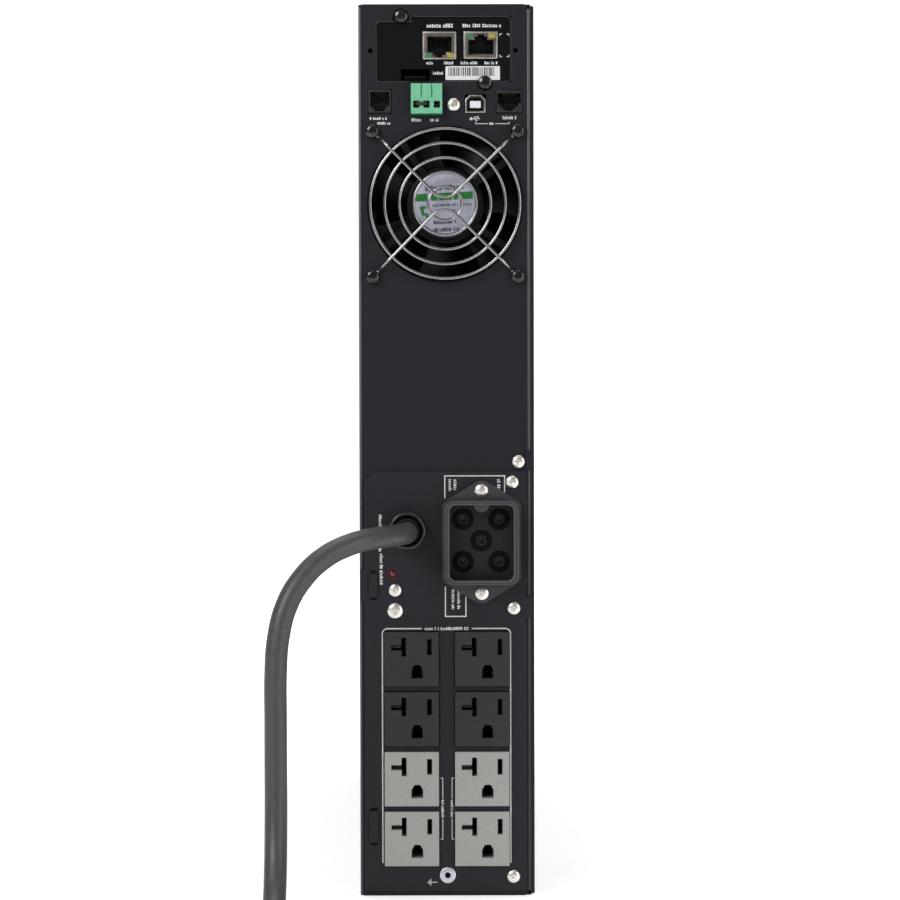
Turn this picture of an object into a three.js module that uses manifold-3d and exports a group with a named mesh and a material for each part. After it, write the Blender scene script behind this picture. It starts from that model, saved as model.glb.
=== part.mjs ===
// A 2U rack-mount uninterruptible power supply, standing on its long side as a tower.
// Frame: +Z up, +X to the right as seen from the rear, +Y from the rear panel towards the front bezel.
// The origin is the middle of the base, under the whole unit. Lengths are millimetres.
import * as THREE from "three";
import { mergeVertices } from "three/addons/utils/BufferGeometryUtils.js";
import Module from "manifold-3d";

const wasm = await Module();
wasm.setup();

// ---------------------------------------------------------------- driving dimensions
const WIDTH = 86.2; // two rack units, less the clearance, along X
const HEIGHT = 440; // the body width of a 19 inch unit, here along Z
const SHEET = 1.2; // thickness of the folded steel
const REST = 0.05; // between two faces that rest on each other
const GAP = 0.3; // clearance round a piece that sits in a hole
const REAR_Y = -219; // outer face of the rear panel
const CASE_FRONT_Y = 205; // front edge of the steel case
const BEZEL_FRONT_Y = 231;
const HALF = WIDTH / 2;
const LID_INNER_X = 40.6; // the lid's hem starts here
const HEM = 8; // depth of the lid's hem along Y

const PANEL_FRONT_Y = REAR_Y - REST - SHEET; // outer face of the outlet panel
const FAN = { x: -0.5, z: 341.8, size: 80, depth: 25, pitch: 71.5, bore: 38 };
const CARD = { x0: -34.2, x1: 31.7, z0: 402, z1: 431.4, zStep: 433.7, xStep: -16.2 };
const CARD_DEPTH = 137;
const CARD_SCREWS = [
  [-22.1, 434],
  [19.2, 401.4],
];
const OUTLET = { size: 26.9, pitch: 29.65, columns: [-17.6, 17.2], topRow: 117.45 };
const CONNECTOR = { x: 17, z: 175.4, screwPitch: 50.5 };
const GLAND = { x: -19.6, z: 181.2, flats: 17.6, height: 12, sleeve: 22 };
const LED = { x: -26.9, z: 159.7 };
const GROUND = { x: 0.1, z: 10.4 };
const PANEL_SCREWS = [
  [35.4, 214.9, REAR_Y],
  [32.2, 204.8, PANEL_FRONT_Y],
  [33, 142.6, PANEL_FRONT_Y],
  [-25.6, 151.6, PANEL_FRONT_Y],
  [-25.6, 141.4, PANEL_FRONT_Y],
  [32.6, 9.8, PANEL_FRONT_Y],
  [3.8, 390.6, REAR_Y],
];
const LARGE_SCREW = 4; // its place in the list
const SCREW = { head: 3.35, rise: 2.1, shank: 1.6, length: 7 };
const TIE_BRIDGES = [
  [-37.8, -34.8, 146.6, 161.4],
  [-38, -34.6, 25.2, 43.8],
];
const JACKS = { batteryX: -32.5, terminalX: -9.5, usbX: 14.5, serialX: 31.1 };
const TERMINAL = { width: 15.4, height: 15.3, z: 393.3, proud: 5 };

const BAY = { z0: 14, z1: 208, x0: -40.2, x1: 32 };
const TRAY = { z0: 15.2, z1: 206.8, x0: -39.6, x1: 22, back: -104, front: 204 };
const BATTERY = { x: 65, y: 151, z: 188 };
const COVER_TOP = 211.4; // the battery cover ends here and the fixed bezel begins
const BEZEL_WALL = 2.4;
const DISPLAY = { z0: 276, z1: 388, hingeX: 25.4, hingeY: 229.6, reach: 51, depth: 17 };
const BUTTON = { radius: 4, proud: 1.4 };

const CORD_RADIUS = 5.25;
// The spare length lies on the floor behind the unit as an oval coil, two columns of turns side by side.
const COIL = { x: -22, y: -560, straight: 88, innerTurn: 45, outerTurn: 56, height: 42 };
const PLUG = { x: -78, y: -604, z: 13.7, boot: 38, body: 46, radius: 13.4 };

// The cord's free run: out of the gland, round to the left, down to the floor and away to the coil.
const CORD_ROUTE = [
  [-19.6, -224, 181.2],
  [-19.6, -235, 181.2],
  [-19.6, -247, 181.2],
  [-21.2, -259.5, 181.2],
  [-26.4, -272, 181],
  [-34.6, -282.4, 180.4],
  [-45.6, -290.6, 178],
  [-57, -296.6, 172.4],
  [-66.8, -301.6, 163.2],
  [-74, -305.4, 151],
  [-77.8, -307.8, 136],
  [-79, -309, 119],
  [-79, -309.6, 100],
  [-79, -310, 80],
  [-78.9, -311, 62],
  [-78.8, -314.4, 45],
  [-78.6, -321.6, 29.6],
  [-78.5, -332.6, 17],
  [-78.4, -346.6, 9],
  [-78.3, -363, 5.8],
  [-78.2, -383, 5.6],
  [-78, -425, 5.6],
  [-78, -470, 5.6],
  [-78, -530, 5.6],
];

// ---------------------------------------------------------------- materials
function finish(color, roughness, metalness = 0) {
  return new THREE.MeshStandardMaterial({ color, roughness, metalness });
}
const MATERIALS = {
  blackSteel: finish(0x26262c, 0.55, 0.2),
  cardBlack: finish(0x17171b, 0.6, 0.2),
  blackPlastic: finish(0x202024, 0.5),
  outletBlack: finish(0x2b2b31, 0.45),
  outletGrey: finish(0x9b9c97, 0.5),
  chrome: finish(0xc9c9cc, 0.2, 1),
  zinc: finish(0xd0cfca, 0.3, 1),
  blackScrew: finish(0x1c1c1e, 0.35, 0.8),
  jackShield: finish(0x9a958f, 0.35, 1),
  terminalGreen: finish(0x5fc48c, 0.5),
  circuitGreen: finish(0x1d5a35, 0.5),
  aluminium: finish(0xb5b7ba, 0.4, 1),
  copper: finish(0x8f5a30, 0.4, 0.8),
  battery: finish(0x34363a, 0.6),
  ledRed: finish(0x7a1420, 0.25),
  glass: finish(0x12161c, 0.1),
  cordRubber: finish(0x2c2c2f, 0.6),
};

// ---------------------------------------------------------------- solids
// A closed geometry as a solid, turned right side out if its profile ran the other way.
function solidOf(geometry) {
  const bare = geometry.clone();
  bare.deleteAttribute("normal");
  bare.deleteAttribute("uv");
  const merged = mergeVertices(bare, 1e-3);
  const all = merged.index.array;
  const build = (turned) => {
    const corners = [];
    for (let i = 0; i < all.length; i += 3) {
      const [a, b, c] = [all[i], all[i + 1], all[i + 2]];
      if (a !== b && b !== c && c !== a) corners.push(a, turned ? c : b, turned ? b : c);
    }
    const vertProperties = merged.attributes.position.array;
    return new wasm.Manifold(new wasm.Mesh({ numProp: 3, vertProperties, triVerts: new Uint32Array(corners) }));
  };
  const made = build(false);
  return made.volume() < 0 ? build(true) : made;
}

function geometryOf(solid) {
  const mesh = solid.getMesh();
  const points = new Float32Array(mesh.numVert * 3);
  for (let i = 0; i < mesh.numVert; i++) {
    const start = i * mesh.numProp;
    points.set(mesh.vertProperties.subarray(start, start + 3), i * 3);
  }
  const geometry = new THREE.BufferGeometry();
  geometry.setAttribute("position", new THREE.BufferAttribute(points, 3));
  geometry.setIndex(new THREE.BufferAttribute(mesh.triVerts, 1));
  geometry.computeVertexNormals();
  return geometry;
}

const join = (...solids) => solids.reduce((sum, solid) => sum.add(solid));
const cut = (solid, ...tools) => tools.reduce((left, tool) => left.subtract(tool), solid);

function block([x0, x1], [y0, y1], [z0, z1]) {
  const geometry = new THREE.BoxGeometry(x1 - x0, y1 - y0, z1 - z0);
  geometry.translate((x0 + x1) / 2, (y0 + y1) / 2, (z0 + z1) / 2);
  return solidOf(geometry);
}

// An outline made solid along its normal, with each of its holes cut out, then moved by place.
function prism(shape, depth, curveSegments, place) {
  const [whole, ...windows] = [shape, ...shape.holes].map((side) => {
    const alone = new THREE.Shape(side.getPoints(curveSegments));
    const geometry = new THREE.ExtrudeGeometry(alone, { depth, bevelEnabled: false });
    place(geometry);
    return solidOf(geometry);
  });
  return cut(whole, ...windows);
}

// An outline drawn in X and Z, made solid along Y from y0 to y1.
const plate = (shape, y0, y1, curveSegments = 2) =>
  prism(shape, y1 - y0, curveSegments, (geometry) => geometry.rotateX(Math.PI / 2).translate(0, y1, 0));

// An outline drawn in X and Y, made solid upwards from z0 to z1.
const slab = (shape, z0, z1, curveSegments = 4) =>
  prism(shape, z1 - z0, curveSegments, (geometry) => geometry.translate(0, 0, z0));

// A round piece about an axis along Y. The profile is [radius, y] pairs that start and end on the axis.
function turned(profile, segments = 12, x = 0, z = 0) {
  const points = profile.map(([radius, y]) => new THREE.Vector2(radius, y));
  const geometry = new THREE.LatheGeometry(points, segments);
  geometry.translate(x, 0, z);
  return solidOf(geometry);
}

const rod = (x, z, radius, y0, y1, segments = 12) =>
  turned([[0, y0], [radius, y0], [radius, y1], [0, y1]], segments, x, z);

function rectangle(target, x0, z0, x1, z1, corner = 0) {
  if (!corner) {
    target.moveTo(x0, z0).lineTo(x1, z0).lineTo(x1, z1).lineTo(x0, z1).closePath();
    return target;
  }
  target.moveTo(x0 + corner, z0).lineTo(x1 - corner, z0);
  target.absarc(x1 - corner, z0 + corner, corner, -Math.PI / 2, 0);
  target.lineTo(x1, z1 - corner).absarc(x1 - corner, z1 - corner, corner, 0, Math.PI / 2);
  target.lineTo(x0 + corner, z1).absarc(x0 + corner, z1 - corner, corner, Math.PI / 2, Math.PI);
  target.lineTo(x0, z0 + corner).absarc(x0 + corner, z0 + corner, corner, Math.PI, Math.PI * 1.5);
  return target;
}

const outline = (...sides) => rectangle(new THREE.Shape(), ...sides);
const hole = (...sides) => rectangle(new THREE.Path(), ...sides);

// A round hole as a path with a fixed number of sides.
function roundHole(x, z, radius, sides = 12) {
  const corners = Array.from({ length: sides }, (_, i) => {
    const angle = ((i + 0.5) * Math.PI * 2) / sides;
    return new THREE.Vector2(x + radius * Math.cos(angle), z + radius * Math.sin(angle));
  });
  return new THREE.Path(corners);
}

// ---------------------------------------------------------------- scene graph
const unit = new THREE.Group();
const chassis = new THREE.Group();
const networkCard = new THREE.Group();
const batteryDrawer = new THREE.Group();
const display = new THREE.Group();
unit.add(chassis, networkCard, batteryDrawer, display);

function add(group, name, solid, material, position = [0, 0, 0]) {
  const mesh = new THREE.Mesh(geometryOf(solid), MATERIALS[material]);
  mesh.name = name;
  mesh.position.set(...position);
  group.add(mesh);
}

// ---------------------------------------------------------------- steel case
// One folded sheet: the rack base on the left and the two long sides as floor and roof.
function chassisShell() {
  const y0 = REAR_Y + SHEET + REST;
  const y1 = CASE_FRONT_Y;
  const inner = -HALF + SHEET;
  const base = block([-HALF, inner], [y0, y1], [0, HEIGHT]);
  const reach = HALF - SHEET - GAP;
  const floor = block([-HALF, reach], [y0, y1], [0, SHEET]);
  const roof = block([-HALF, reach], [y0, y1], [HEIGHT - SHEET, HEIGHT]);
  const lowerLip = block([LID_INNER_X - GAP - SHEET, LID_INNER_X - GAP], [y0 + HEM, y1], [0, 10]);
  const upperLip = block([LID_INNER_X - GAP - SHEET, LID_INNER_X - GAP], [y0 + HEM, y1], [HEIGHT - 10, HEIGHT]);
  return join(base, floor, roof, lowerLip, upperLip);
}

// The lid, with its rear edge folded back on itself as a thick rounded hem.
function topCover() {
  const [z0, z1] = [1.6, HEIGHT - 1.6];
  const skin = block([HALF - SHEET, HALF], [REAR_Y + HEM, CASE_FRONT_Y], [z0 + 0.4, z1 - 0.4]);
  const hem = plate(outline(LID_INNER_X, z0, HALF, z1, 1.2), REAR_Y, REAR_Y + HEM + 1);
  return join(skin, hem);
}

function cardOutline(target, grow) {
  const { x0, x1, z0, z1, zStep, xStep } = CARD;
  const ear = 3.6 + grow;
  const [[earX, earZ], [lowX, lowZ]] = CARD_SCREWS;
  const corner = 2.4;
  target.moveTo(x0 + corner - grow, z0 - grow).lineTo(lowX - ear, z0 - grow);
  target.lineTo(lowX - ear, lowZ).absarc(lowX, lowZ, ear, Math.PI, Math.PI * 2);
  target.lineTo(lowX + ear, z0 - grow).lineTo(x1 + grow, z0 - grow);
  target.lineTo(x1 + grow, zStep + grow).lineTo(xStep - grow, zStep + grow).lineTo(xStep - grow, z1 + grow);
  target.lineTo(earX + ear, z1 + grow).lineTo(earX + ear, earZ).absarc(earX, earZ, ear, 0, Math.PI);
  target.lineTo(earX - ear, z1 + grow).lineTo(x0 + corner - grow, z1 + grow);
  target.lineTo(x0 - grow, z1 - corner + grow).lineTo(x0 - grow, z0 + corner - grow).closePath();
  return target;
}

// The rear wall, with tabs over the lid's hem and windows behind the outlet panel.
function rearPanel() {
  const edge = LID_INNER_X - GAP - 0.3;
  const shape = outline(-HALF, 0, edge, HEIGHT, 2.2);
  shape.holes.push(
    cardOutline(new THREE.Path(), 0.4),
    roundHole(FAN.x, FAN.z, FAN.bore + 0.6, 48),
    hole(-33, 154.4, 35.6, 197),
    hole(-34.5, 14, 34.5, 134),
    hole(-38.4, 386.3, -26.6, 398.4),
    hole(-9.5 - TERMINAL.width / 2 - GAP, 385.3, -9.5 + TERMINAL.width / 2 + GAP, 401.1),
    hole(9.1, 386.3, 19.9, 395.8, 1),
    hole(24.6, 386.3, 37.6, 398),
    roundHole(-37.2, 417.2, 1.2),
    roundHole(34.3, 417.3, 1.2),
  );
  for (const sx of [-1, 1])
    for (const sz of [-1, 1])
      shape.holes.push(roundHole(FAN.x + (sx * FAN.pitch) / 2, FAN.z + (sz * FAN.pitch) / 2, 2.3));
  for (const [x, z] of PANEL_SCREWS) shape.holes.push(roundHole(x, z, SCREW.shank + GAP));
  shape.holes.push(roundHole(GROUND.x, GROUND.z, 2.4));
  const wall = plate(shape, REAR_Y, REAR_Y + SHEET);
  const tab = block([edge - 1.1, HALF], [REAR_Y - SHEET, REAR_Y - REST], [210.5, 220.4]);
  const tabRoot = block([edge - 1.1, edge], [REAR_Y - SHEET, REAR_Y + SHEET / 2], [211.4, 219.4]);
  return join(wall, cardLug(CARD_SCREWS[0], 1), cardLug(CARD_SCREWS[1], -1), tab, tabRoot);
}

// A stepped lug behind the panel that takes one of the card's two captive screws.
function cardLug([x, z], side) {
  const behind = REAR_Y + SHEET;
  const reach = side > 0 ? [z - 3, HEIGHT - 2] : [z - 5.2, z + 3];
  const step = block([x - 6, x - 4.3], [REAR_Y + 0.4, behind + 2.4], side > 0 ? [z, z + 3.6] : [z - 4, z]);
  const bridge = block([x - 6, x + 4.4], [behind + 0.9, behind + 2.4], reach);
  return cut(join(step, bridge), rod(x, z, SCREW.shank + GAP, behind, behind + 4));
}

// The plate over the lower half: outlets, battery connector, cord gland and cable-tie bridges.
function outletPanel() {
  const [left, right, bottom, top] = [-40.8, 39.4, 2.4, 210.1];
  const chamfer = 4.7;
  const shape = new THREE.Shape();
  shape.moveTo(left, bottom).lineTo(right, bottom).lineTo(right, 137.9).lineTo(42.4, 137.9);
  shape.lineTo(42.4, 148.1).lineTo(right, 148.1).lineTo(right, top).lineTo(left + chamfer, top);
  shape.lineTo(left, top - chamfer).lineTo(left, 161.6).lineTo(-42.8, 161.6).lineTo(-42.8, 146.1);
  shape.lineTo(left, 146.1).closePath();
  const half = OUTLET.size / 2 + GAP;
  for (const [x, z] of outletCentres()) shape.holes.push(hole(x - half, z - half, x + half, z + half));
  const { x, z } = CONNECTOR;
  shape.holes.push(hole(x - 17.4, z - 19.6, x + 17.4, z + 19.6));
  shape.holes.push(roundHole(GLAND.x, GLAND.z, 6.8, 16), roundHole(LED.x, LED.z, 1.9));
  shape.holes.push(roundHole(GROUND.x, GROUND.z, 2.4));
  for (const [sx, sz, face] of PANEL_SCREWS)
    if (face === PANEL_FRONT_Y) shape.holes.push(roundHole(sx, sz, SCREW.shank + GAP));
  for (const [x0, x1, z0, z1] of TIE_BRIDGES) shape.holes.push(hole(x0, z0, x1, z1));
  const face = plate(shape, PANEL_FRONT_Y, PANEL_FRONT_Y + SHEET);
  return join(face, ...TIE_BRIDGES.map((bridge) => tieBridge(...bridge)));
}

// A strap of the panel's own metal, pressed out and open at both ends, so that a cable tie can pass behind it.
function tieBridge(x0, x1, z0, z1) {
  const out = PANEL_FRONT_Y - 1.4;
  const span = [z0 + 1.5, z1 - 1.5];
  const strap = block([x0 - 0.4, x1 + 0.4], [out, out + 0.8], span);
  const left = block([x0 - 0.4, x0 + 0.3], [out, PANEL_FRONT_Y + SHEET / 2], span);
  const right = block([x1 - 0.3, x1 + 0.4], [out, PANEL_FRONT_Y + SHEET / 2], span);
  return join(strap, left, right);
}

// The front wall with its bay mouth, and the partition that divides batteries from electronics.
function frontFrame() {
  const shape = outline(-HALF + SHEET + GAP, SHEET + GAP, LID_INNER_X - 2, HEIGHT - SHEET - GAP);
  shape.holes.push(hole(BAY.x0, BAY.z0, BAY.x1, BAY.z1), hole(-28, 284, 16, 380, 4));
  const wall = plate(shape, CASE_FRONT_Y - SHEET, CASE_FRONT_Y);
  const partition = block([-HALF + SHEET + GAP, LID_INNER_X - 2], [-150, CASE_FRONT_Y - 0.5], [210, 210 + SHEET]);
  return join(wall, partition);
}

// ---------------------------------------------------------------- fan
function fanFrame() {
  const y0 = REAR_Y + SHEET + REST;
  const y1 = y0 + FAN.depth;
  const half = FAN.size / 2;
  const shape = outline(FAN.x - half, FAN.z - half, FAN.x + half, FAN.z + half, 4);
  shape.holes.push(roundHole(FAN.x, FAN.z, FAN.bore, 48));
  for (const sx of [-1, 1])
    for (const sz of [-1, 1])
      shape.holes.push(roundHole(FAN.x + (sx * FAN.pitch) / 2, FAN.z + (sz * FAN.pitch) / 2, 2.1));
  const frame = plate(shape, y0, y1);
  const hub = rod(FAN.x, FAN.z, 16.6, y0 + 0.4, y0 + 5, 24);
  const struts = [35, 125, 215, 325].map((degrees) => {
    const arm = new THREE.BoxGeometry(FAN.bore, 3, 3.4);
    arm.translate(FAN.bore / 2 + 1, y0 + 2.4, 0);
    arm.rotateY((-degrees * Math.PI) / 180);
    arm.translate(FAN.x, 0, FAN.z);
    return solidOf(arm);
  });
  return join(frame, hub, ...struts);
}

// Seven raked blades on a cup-shaped hub, inboard of the motor struts.
function fanRotor() {
  const y0 = REAR_Y + SHEET + 7;
  const depth = 16;
  const blades = Array.from({ length: 7 }, (_, i) => {
    const blade = new THREE.BoxGeometry(20, 1.4, 17, 3, 1, 1);
    const points = blade.attributes.position;
    for (let k = 0; k < points.count; k++) {
      const share = points.getX(k) / 20 + 0.5;
      const rake = 0.72 - 0.22 * share;
      const [py, pz] = [points.getY(k), points.getZ(k)];
      points.setXYZ(
        k,
        18 + share * 16.6,
        py * Math.cos(rake) + pz * Math.sin(rake),
        -py * Math.sin(rake) + pz * Math.cos(rake) + 6 * share * share,
      );
    }
    blade.rotateY((i * 2 * Math.PI) / 7);
    blade.translate(FAN.x, y0 + depth / 2, FAN.z);
    return solidOf(blade);
  });
  const hub = rod(FAN.x, FAN.z, 19.4, y0, y0 + depth, 28);
  return join(hub, ...blades);
}

// Five rings of wire carried by two bent wires that run in front of them to the corner screws.
function fanGuard() {
  const wire = 0.85;
  const ringY = REAR_Y - 4.2;
  const rings = [8.3, 15.4, 22.5, 29.7, 36.8].map((radius, i) => {
    const section = Array.from({ length: 6 }, (_, k) => [
      radius + wire * Math.cos((k * Math.PI) / 2.5),
      ringY + wire * Math.sin((k * Math.PI) / 2.5),
    ]);
    return turned(section, 12 + 4 * i, FAN.x, FAN.z);
  });
  const carriers = [1, -1].map((side) => {
    const far = FAN.pitch / 2;
    const front = ringY - 1.2;
    const stops = [
      [-far, REAR_Y - 0.9, side * far],
      [-far + 4, REAR_Y - 0.9, side * (far - 4)],
      [-far + 8, front, side * (far - 8)],
      [-4, front, side * 3.4],
      [4, front, side * 3.4],
      [far - 8, front, side * (far - 8)],
      [far - 4, REAR_Y - 0.9, side * (far - 4)],
      [far, REAR_Y - 0.9, side * far],
    ].map(([x, y, z]) => new THREE.Vector3(FAN.x + x, y, FAN.z + z));
    return stops.slice(1).map((stop, i) => wireBetween(stops[i], stop, wire));
  });
  const eyes = [];
  for (const sx of [-1, 1])
    for (const sz of [-1, 1]) {
      const [x, z] = [FAN.x + (sx * FAN.pitch) / 2, FAN.z + (sz * FAN.pitch) / 2];
      const eye = rod(x, z, 3.3, REAR_Y - 1.7, REAR_Y - REST, 12);
      eyes.push({ eye, bore: rod(x, z, 2.2, REAR_Y - 4, REAR_Y + 1, 12) });
    }
  const body = join(...rings, ...carriers.flat(), ...eyes.map((e) => e.eye));
  return cut(body, ...eyes.map((e) => e.bore));
}

// A straight six-sided wire that runs a little past both of its ends.
function wireBetween(from, to, radius) {
  const along = to.clone().sub(from);
  const length = along.length();
  const stick = new THREE.CylinderGeometry(radius, radius, length + radius, 6);
  stick.applyQuaternion(new THREE.Quaternion().setFromUnitVectors(new THREE.Vector3(0, 1, 0), along.normalize()));
  const middle = from.clone().lerp(to, 0.5);
  stick.translate(middle.x, middle.y, middle.z);
  return solidOf(stick);
}

// ---------------------------------------------------------------- fasteners
// A pan-head screw with its seat at y = 0 and its head towards -Y.
function panScrew({ head, rise, shank, length }) {
  const profile = [
    [0, -rise],
    [head * 0.6, -rise],
    [head, -rise * 0.45],
    [head, 0],
    [shank, 0],
    [shank, length],
    [0, length],
  ];
  return turned(profile, 10);
}

// ---------------------------------------------------------------- rear connectors
function outletCentres() {
  const centres = [];
  for (let row = 0; row < 4; row++)
    for (const x of OUTLET.columns) centres.push([x, OUTLET.topRow - row * OUTLET.pitch]);
  return centres;
}

// A 20 A outlet: T slot, straight slot and a ground hole with a round top. The panel's face is at y = 0.
function outlet() {
  const edge = OUTLET.size / 2;
  const body = block([-edge, edge], [-1.7, 22], [-edge, edge]);
  const through = [-3, 23];
  const ground = new THREE.Shape();
  ground.moveTo(-0.15, -9.35).lineTo(5.55, -9.35).lineTo(5.55, -5.4);
  ground.lineTo(4.1, -2.9).lineTo(1.3, -2.9).lineTo(-0.15, -5.4).closePath();
  return cut(
    body,
    block([-5, -2.6], through, [1.5, 10.6]),
    block([-10.1, -4.9], through, [4.5, 6.9]),
    block([7.6, 10], through, [2.2, 9.9]),
    plate(ground, ...through),
  );
}

// The socket for extra battery cabinets: a pointed flange, a square shroud and five contact wells.
function batteryConnector() {
  const { x, z, screwPitch } = CONNECTOR;
  const flangeShape = new THREE.Shape();
  const tip = screwPitch / 2;
  flangeShape.moveTo(x - 19.5, z - 18).lineTo(x - 18, z - 20.2).lineTo(x - 5.4, z - tip - 3);
  flangeShape.absarc(x, z - tip + 1, 6, Math.PI * 1.25, Math.PI * 1.75);
  flangeShape.lineTo(x + 18, z - 20.2).lineTo(x + 19.5, z - 18).lineTo(x + 19.5, z + 18);
  flangeShape.lineTo(x + 18, z + 20.2).lineTo(x + 5.4, z + tip + 3);
  flangeShape.absarc(x, z + tip - 1, 6, Math.PI * 0.25, Math.PI * 0.75);
  flangeShape.lineTo(x - 18, z + 20.2).lineTo(x - 19.5, z + 18).closePath();
  const front = PANEL_FRONT_Y;
  const flange = plate(flangeShape, front - 3, front - REST);
  const shroud = plate(outline(x - 18.1, z - 20.5, x + 18.1, z + 20.5, 5), front - 11, front - 2);
  const body = block([x - 16.8, x + 16.8], [front - 2.5, front + 22], [z - 19, z + 19]);
  const cavity = plate(outline(x - 15.7, z - 18.5, x + 15.7, z + 18.5, 3.2), front - 12, front + 3);
  const key = plate(new THREE.Shape().absarc(x, z + 18.7, 3.8, Math.PI, Math.PI * 2), front - 10.4, front + 3.2, 6);
  const wells = connectorContacts().map(([cx, cz]) => rod(cx, cz, 5, front + 2, front + 12, 14));
  const barrels = connectorContacts().map(([cx, cz]) => rod(cx, cz, 2.8, front + 3.4, front + 13, 10));
  const bores = connectorContacts().map(([cx, cz]) => rod(cx, cz, 1.6, front + 2, front + 11, 8));
  const hollow = join(cut(join(flange, shroud, body), cavity, ...wells), key, ...barrels);
  return cut(hollow, ...bores);
}

function connectorContacts() {
  const { x, z } = CONNECTOR;
  return [[-9.1, 11.1], [8.9, 11.1], [0, 0.4], [-9.1, -10], [8.9, -10]].map(([dx, dz]) => [x + dx, z + dz]);
}

// A hexagonal cord grip with a tapered sleeve in front, a bore for the cord and a threaded neck behind.
function cordGland() {
  const across = GLAND.flats / 2;
  const nut = new THREE.Shape();
  for (let i = 0; i < 6; i++) {
    const angle = (i * Math.PI) / 3;
    const radius = across / Math.cos(Math.PI / 6);
    const [px, pz] = [GLAND.x + radius * Math.cos(angle), GLAND.z + radius * Math.sin(angle)];
    if (i) nut.lineTo(px, pz);
    else nut.moveTo(px, pz);
  }
  nut.closePath();
  const front = PANEL_FRONT_Y - GLAND.sleeve;
  const head = plate(nut, PANEL_FRONT_Y - GLAND.height, PANEL_FRONT_Y - REST);
  const neck = rod(GLAND.x, GLAND.z, 6.3, PANEL_FRONT_Y - 1, PANEL_FRONT_Y + 12, 16);
  const taper = [[0, front], [6.5, front], [8.1, front + 9], [8.1, front + 11], [0, front + 11]];
  const sleeve = turned(taper, 20, GLAND.x, GLAND.z);
  const bore = rod(GLAND.x, GLAND.z, 5.7, front - 1, PANEL_FRONT_Y - 1.6, 20);
  return cut(join(head, neck, sleeve), bore);
}

// A modular jack: a square body whose mouth has a latch notch on one side.
function modularJack({ width, height, depth, mouth, lift = 0, notch, notchUp }) {
  const [mw, mh] = mouth;
  const body = block([-width / 2, width / 2], [0, depth], [-height / 2, height / 2]);
  const sign = notchUp ? 1 : -1;
  const rim = lift + (sign * mh) / 2;
  const ordered = (a, b) => (a < b ? [a, b] : [b, a]);
  const socket = block([-mw / 2, mw / 2], [-1, depth - 5], [lift - mh / 2, lift + mh / 2]);
  const latch = block([-notch / 2, notch / 2], [-1, depth - 6], ordered(rim - sign, rim + sign * 2.2));
  return cut(body, socket, latch);
}

function usbPort() {
  const shell = new THREE.Shape();
  shell.moveTo(-5, -4.4).lineTo(5, -4.4).lineTo(5, 2.3).lineTo(2.9, 4.4).lineTo(-2.9, 4.4).lineTo(-5, 2.3).closePath();
  const mouth = new THREE.Shape();
  mouth.moveTo(-4.25, -3.7).lineTo(4.25, -3.7).lineTo(4.25, 1.9).lineTo(2.5, 3.7).lineTo(-2.5, 3.7);
  mouth.lineTo(-4.25, 1.9).closePath();
  const tongue = block([-2.8, 2.8], [1, 11], [-1.7, 1.7]);
  return join(cut(plate(shell, 0, 16), plate(mouth, -1, 10)), tongue);
}

// The fixed half of the dry-contact terminal block, with three pins.
function terminalHeader() {
  const { width, height } = TERMINAL;
  const [y0, y1] = [REAR_Y + SHEET + REST, REAR_Y + 14];
  const wall = 1.1;
  const outer = block([-width / 2 - wall, width / 2 + wall], [y0, y1], [-height / 2 - 0.5, height / 2 + 0.5]);
  const inner = block([-width / 2 - GAP, width / 2 + GAP], [y0 - 1, y1 - 2], [-height / 2, height / 2]);
  const pins = [-5.08, 0, 5.08].map((x) => block([x - 0.5, x + 0.5], [y0 + 3, y1 - 1], [-0.5, 0.5]));
  return join(cut(outer, inner), ...pins);
}

// The pull-off half, with three wire mouths and the square bores that take the pins.
function terminalPlug() {
  const { width, height, proud } = TERMINAL;
  const [y0, y1] = [REAR_Y - proud, REAR_Y + 10];
  const half = height / 2 - GAP;
  const body = block([-width / 2, width / 2], [y0, y1], [-half, half]);
  const mouths = [-5.08, 0, 5.08].map((x) => block([x - 1.5, x + 1.5], [y0 - 1, y0 + 6], [-4.6, -1.2]));
  const bores = [-5.08, 0, 5.08].map((x) => block([x - 0.9, x + 0.9], [y0 + 7, y1 + 1], [-0.9, 0.9]));
  const ribs = [-2.54, 2.54].map((x) => block([x - 0.3, x + 0.3], [y0 - 1, y0 + 1], [0.6, half + 1]));
  return cut(body, ...mouths, ...bores, ...ribs);
}

// ---------------------------------------------------------------- network card
function cardPlate() {
  const back = REAR_Y + SHEET;
  const plateSolid = plate(cardOutline(new THREE.Shape(), 0), back - 0.8, back + 0.2, 6);
  const flange = block([-30, 28], [back, back + 6], [408.9, 410]);
  const tabWindow = block([-22.2, -8], [back - 4, back + 1], [402.8, 408.2]);
  const tabFoot = block([-20.4, -9.8], [back - 0.8, back + 0.2], [402.6, 404]);
  const pullTab = block([-20.4, -9.8], [back - 4.4, back], [403.4, 404.4]);
  return cut(
    join(cut(plateSolid, tabWindow), flange, tabFoot, pullTab),
    block([-11.6, 5.4], [back - 4, back + 1], [412.6, 426.8]),
    block([8.5, 25.8], [back - 4, back + 1], [412.6, 426.8]),
    ...CARD_SCREWS.map(([x, z]) => rod(x, z, SCREW.shank + GAP, back - 3, back + 3)),
  );
}

function cardBoard() {
  const y0 = REAR_Y + SHEET + 1;
  const board = block([-32, 30], [y0, y0 + CARD_DEPTH], [410.3, 411.9]);
  const parts = [
    [-28, -16, 40, 56, 3],
    [-6, 8, 44, 60, 2.4],
    [14, 26, 70, 92, 8],
    [-24, -4, 84, 104, 2.4],
    [2, 8, 96, 116, 6],
  ].map(([x0, x1, from, to, tall]) => block([x0, x1], [y0 + from, y0 + to], [411.5, 411.9 + tall]));
  const edgeConnector = block([-20, 20], [y0 + CARD_DEPTH - 6, y0 + CARD_DEPTH + 6], [409, 415]);
  return join(board, edgeConnector, ...parts);
}

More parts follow.
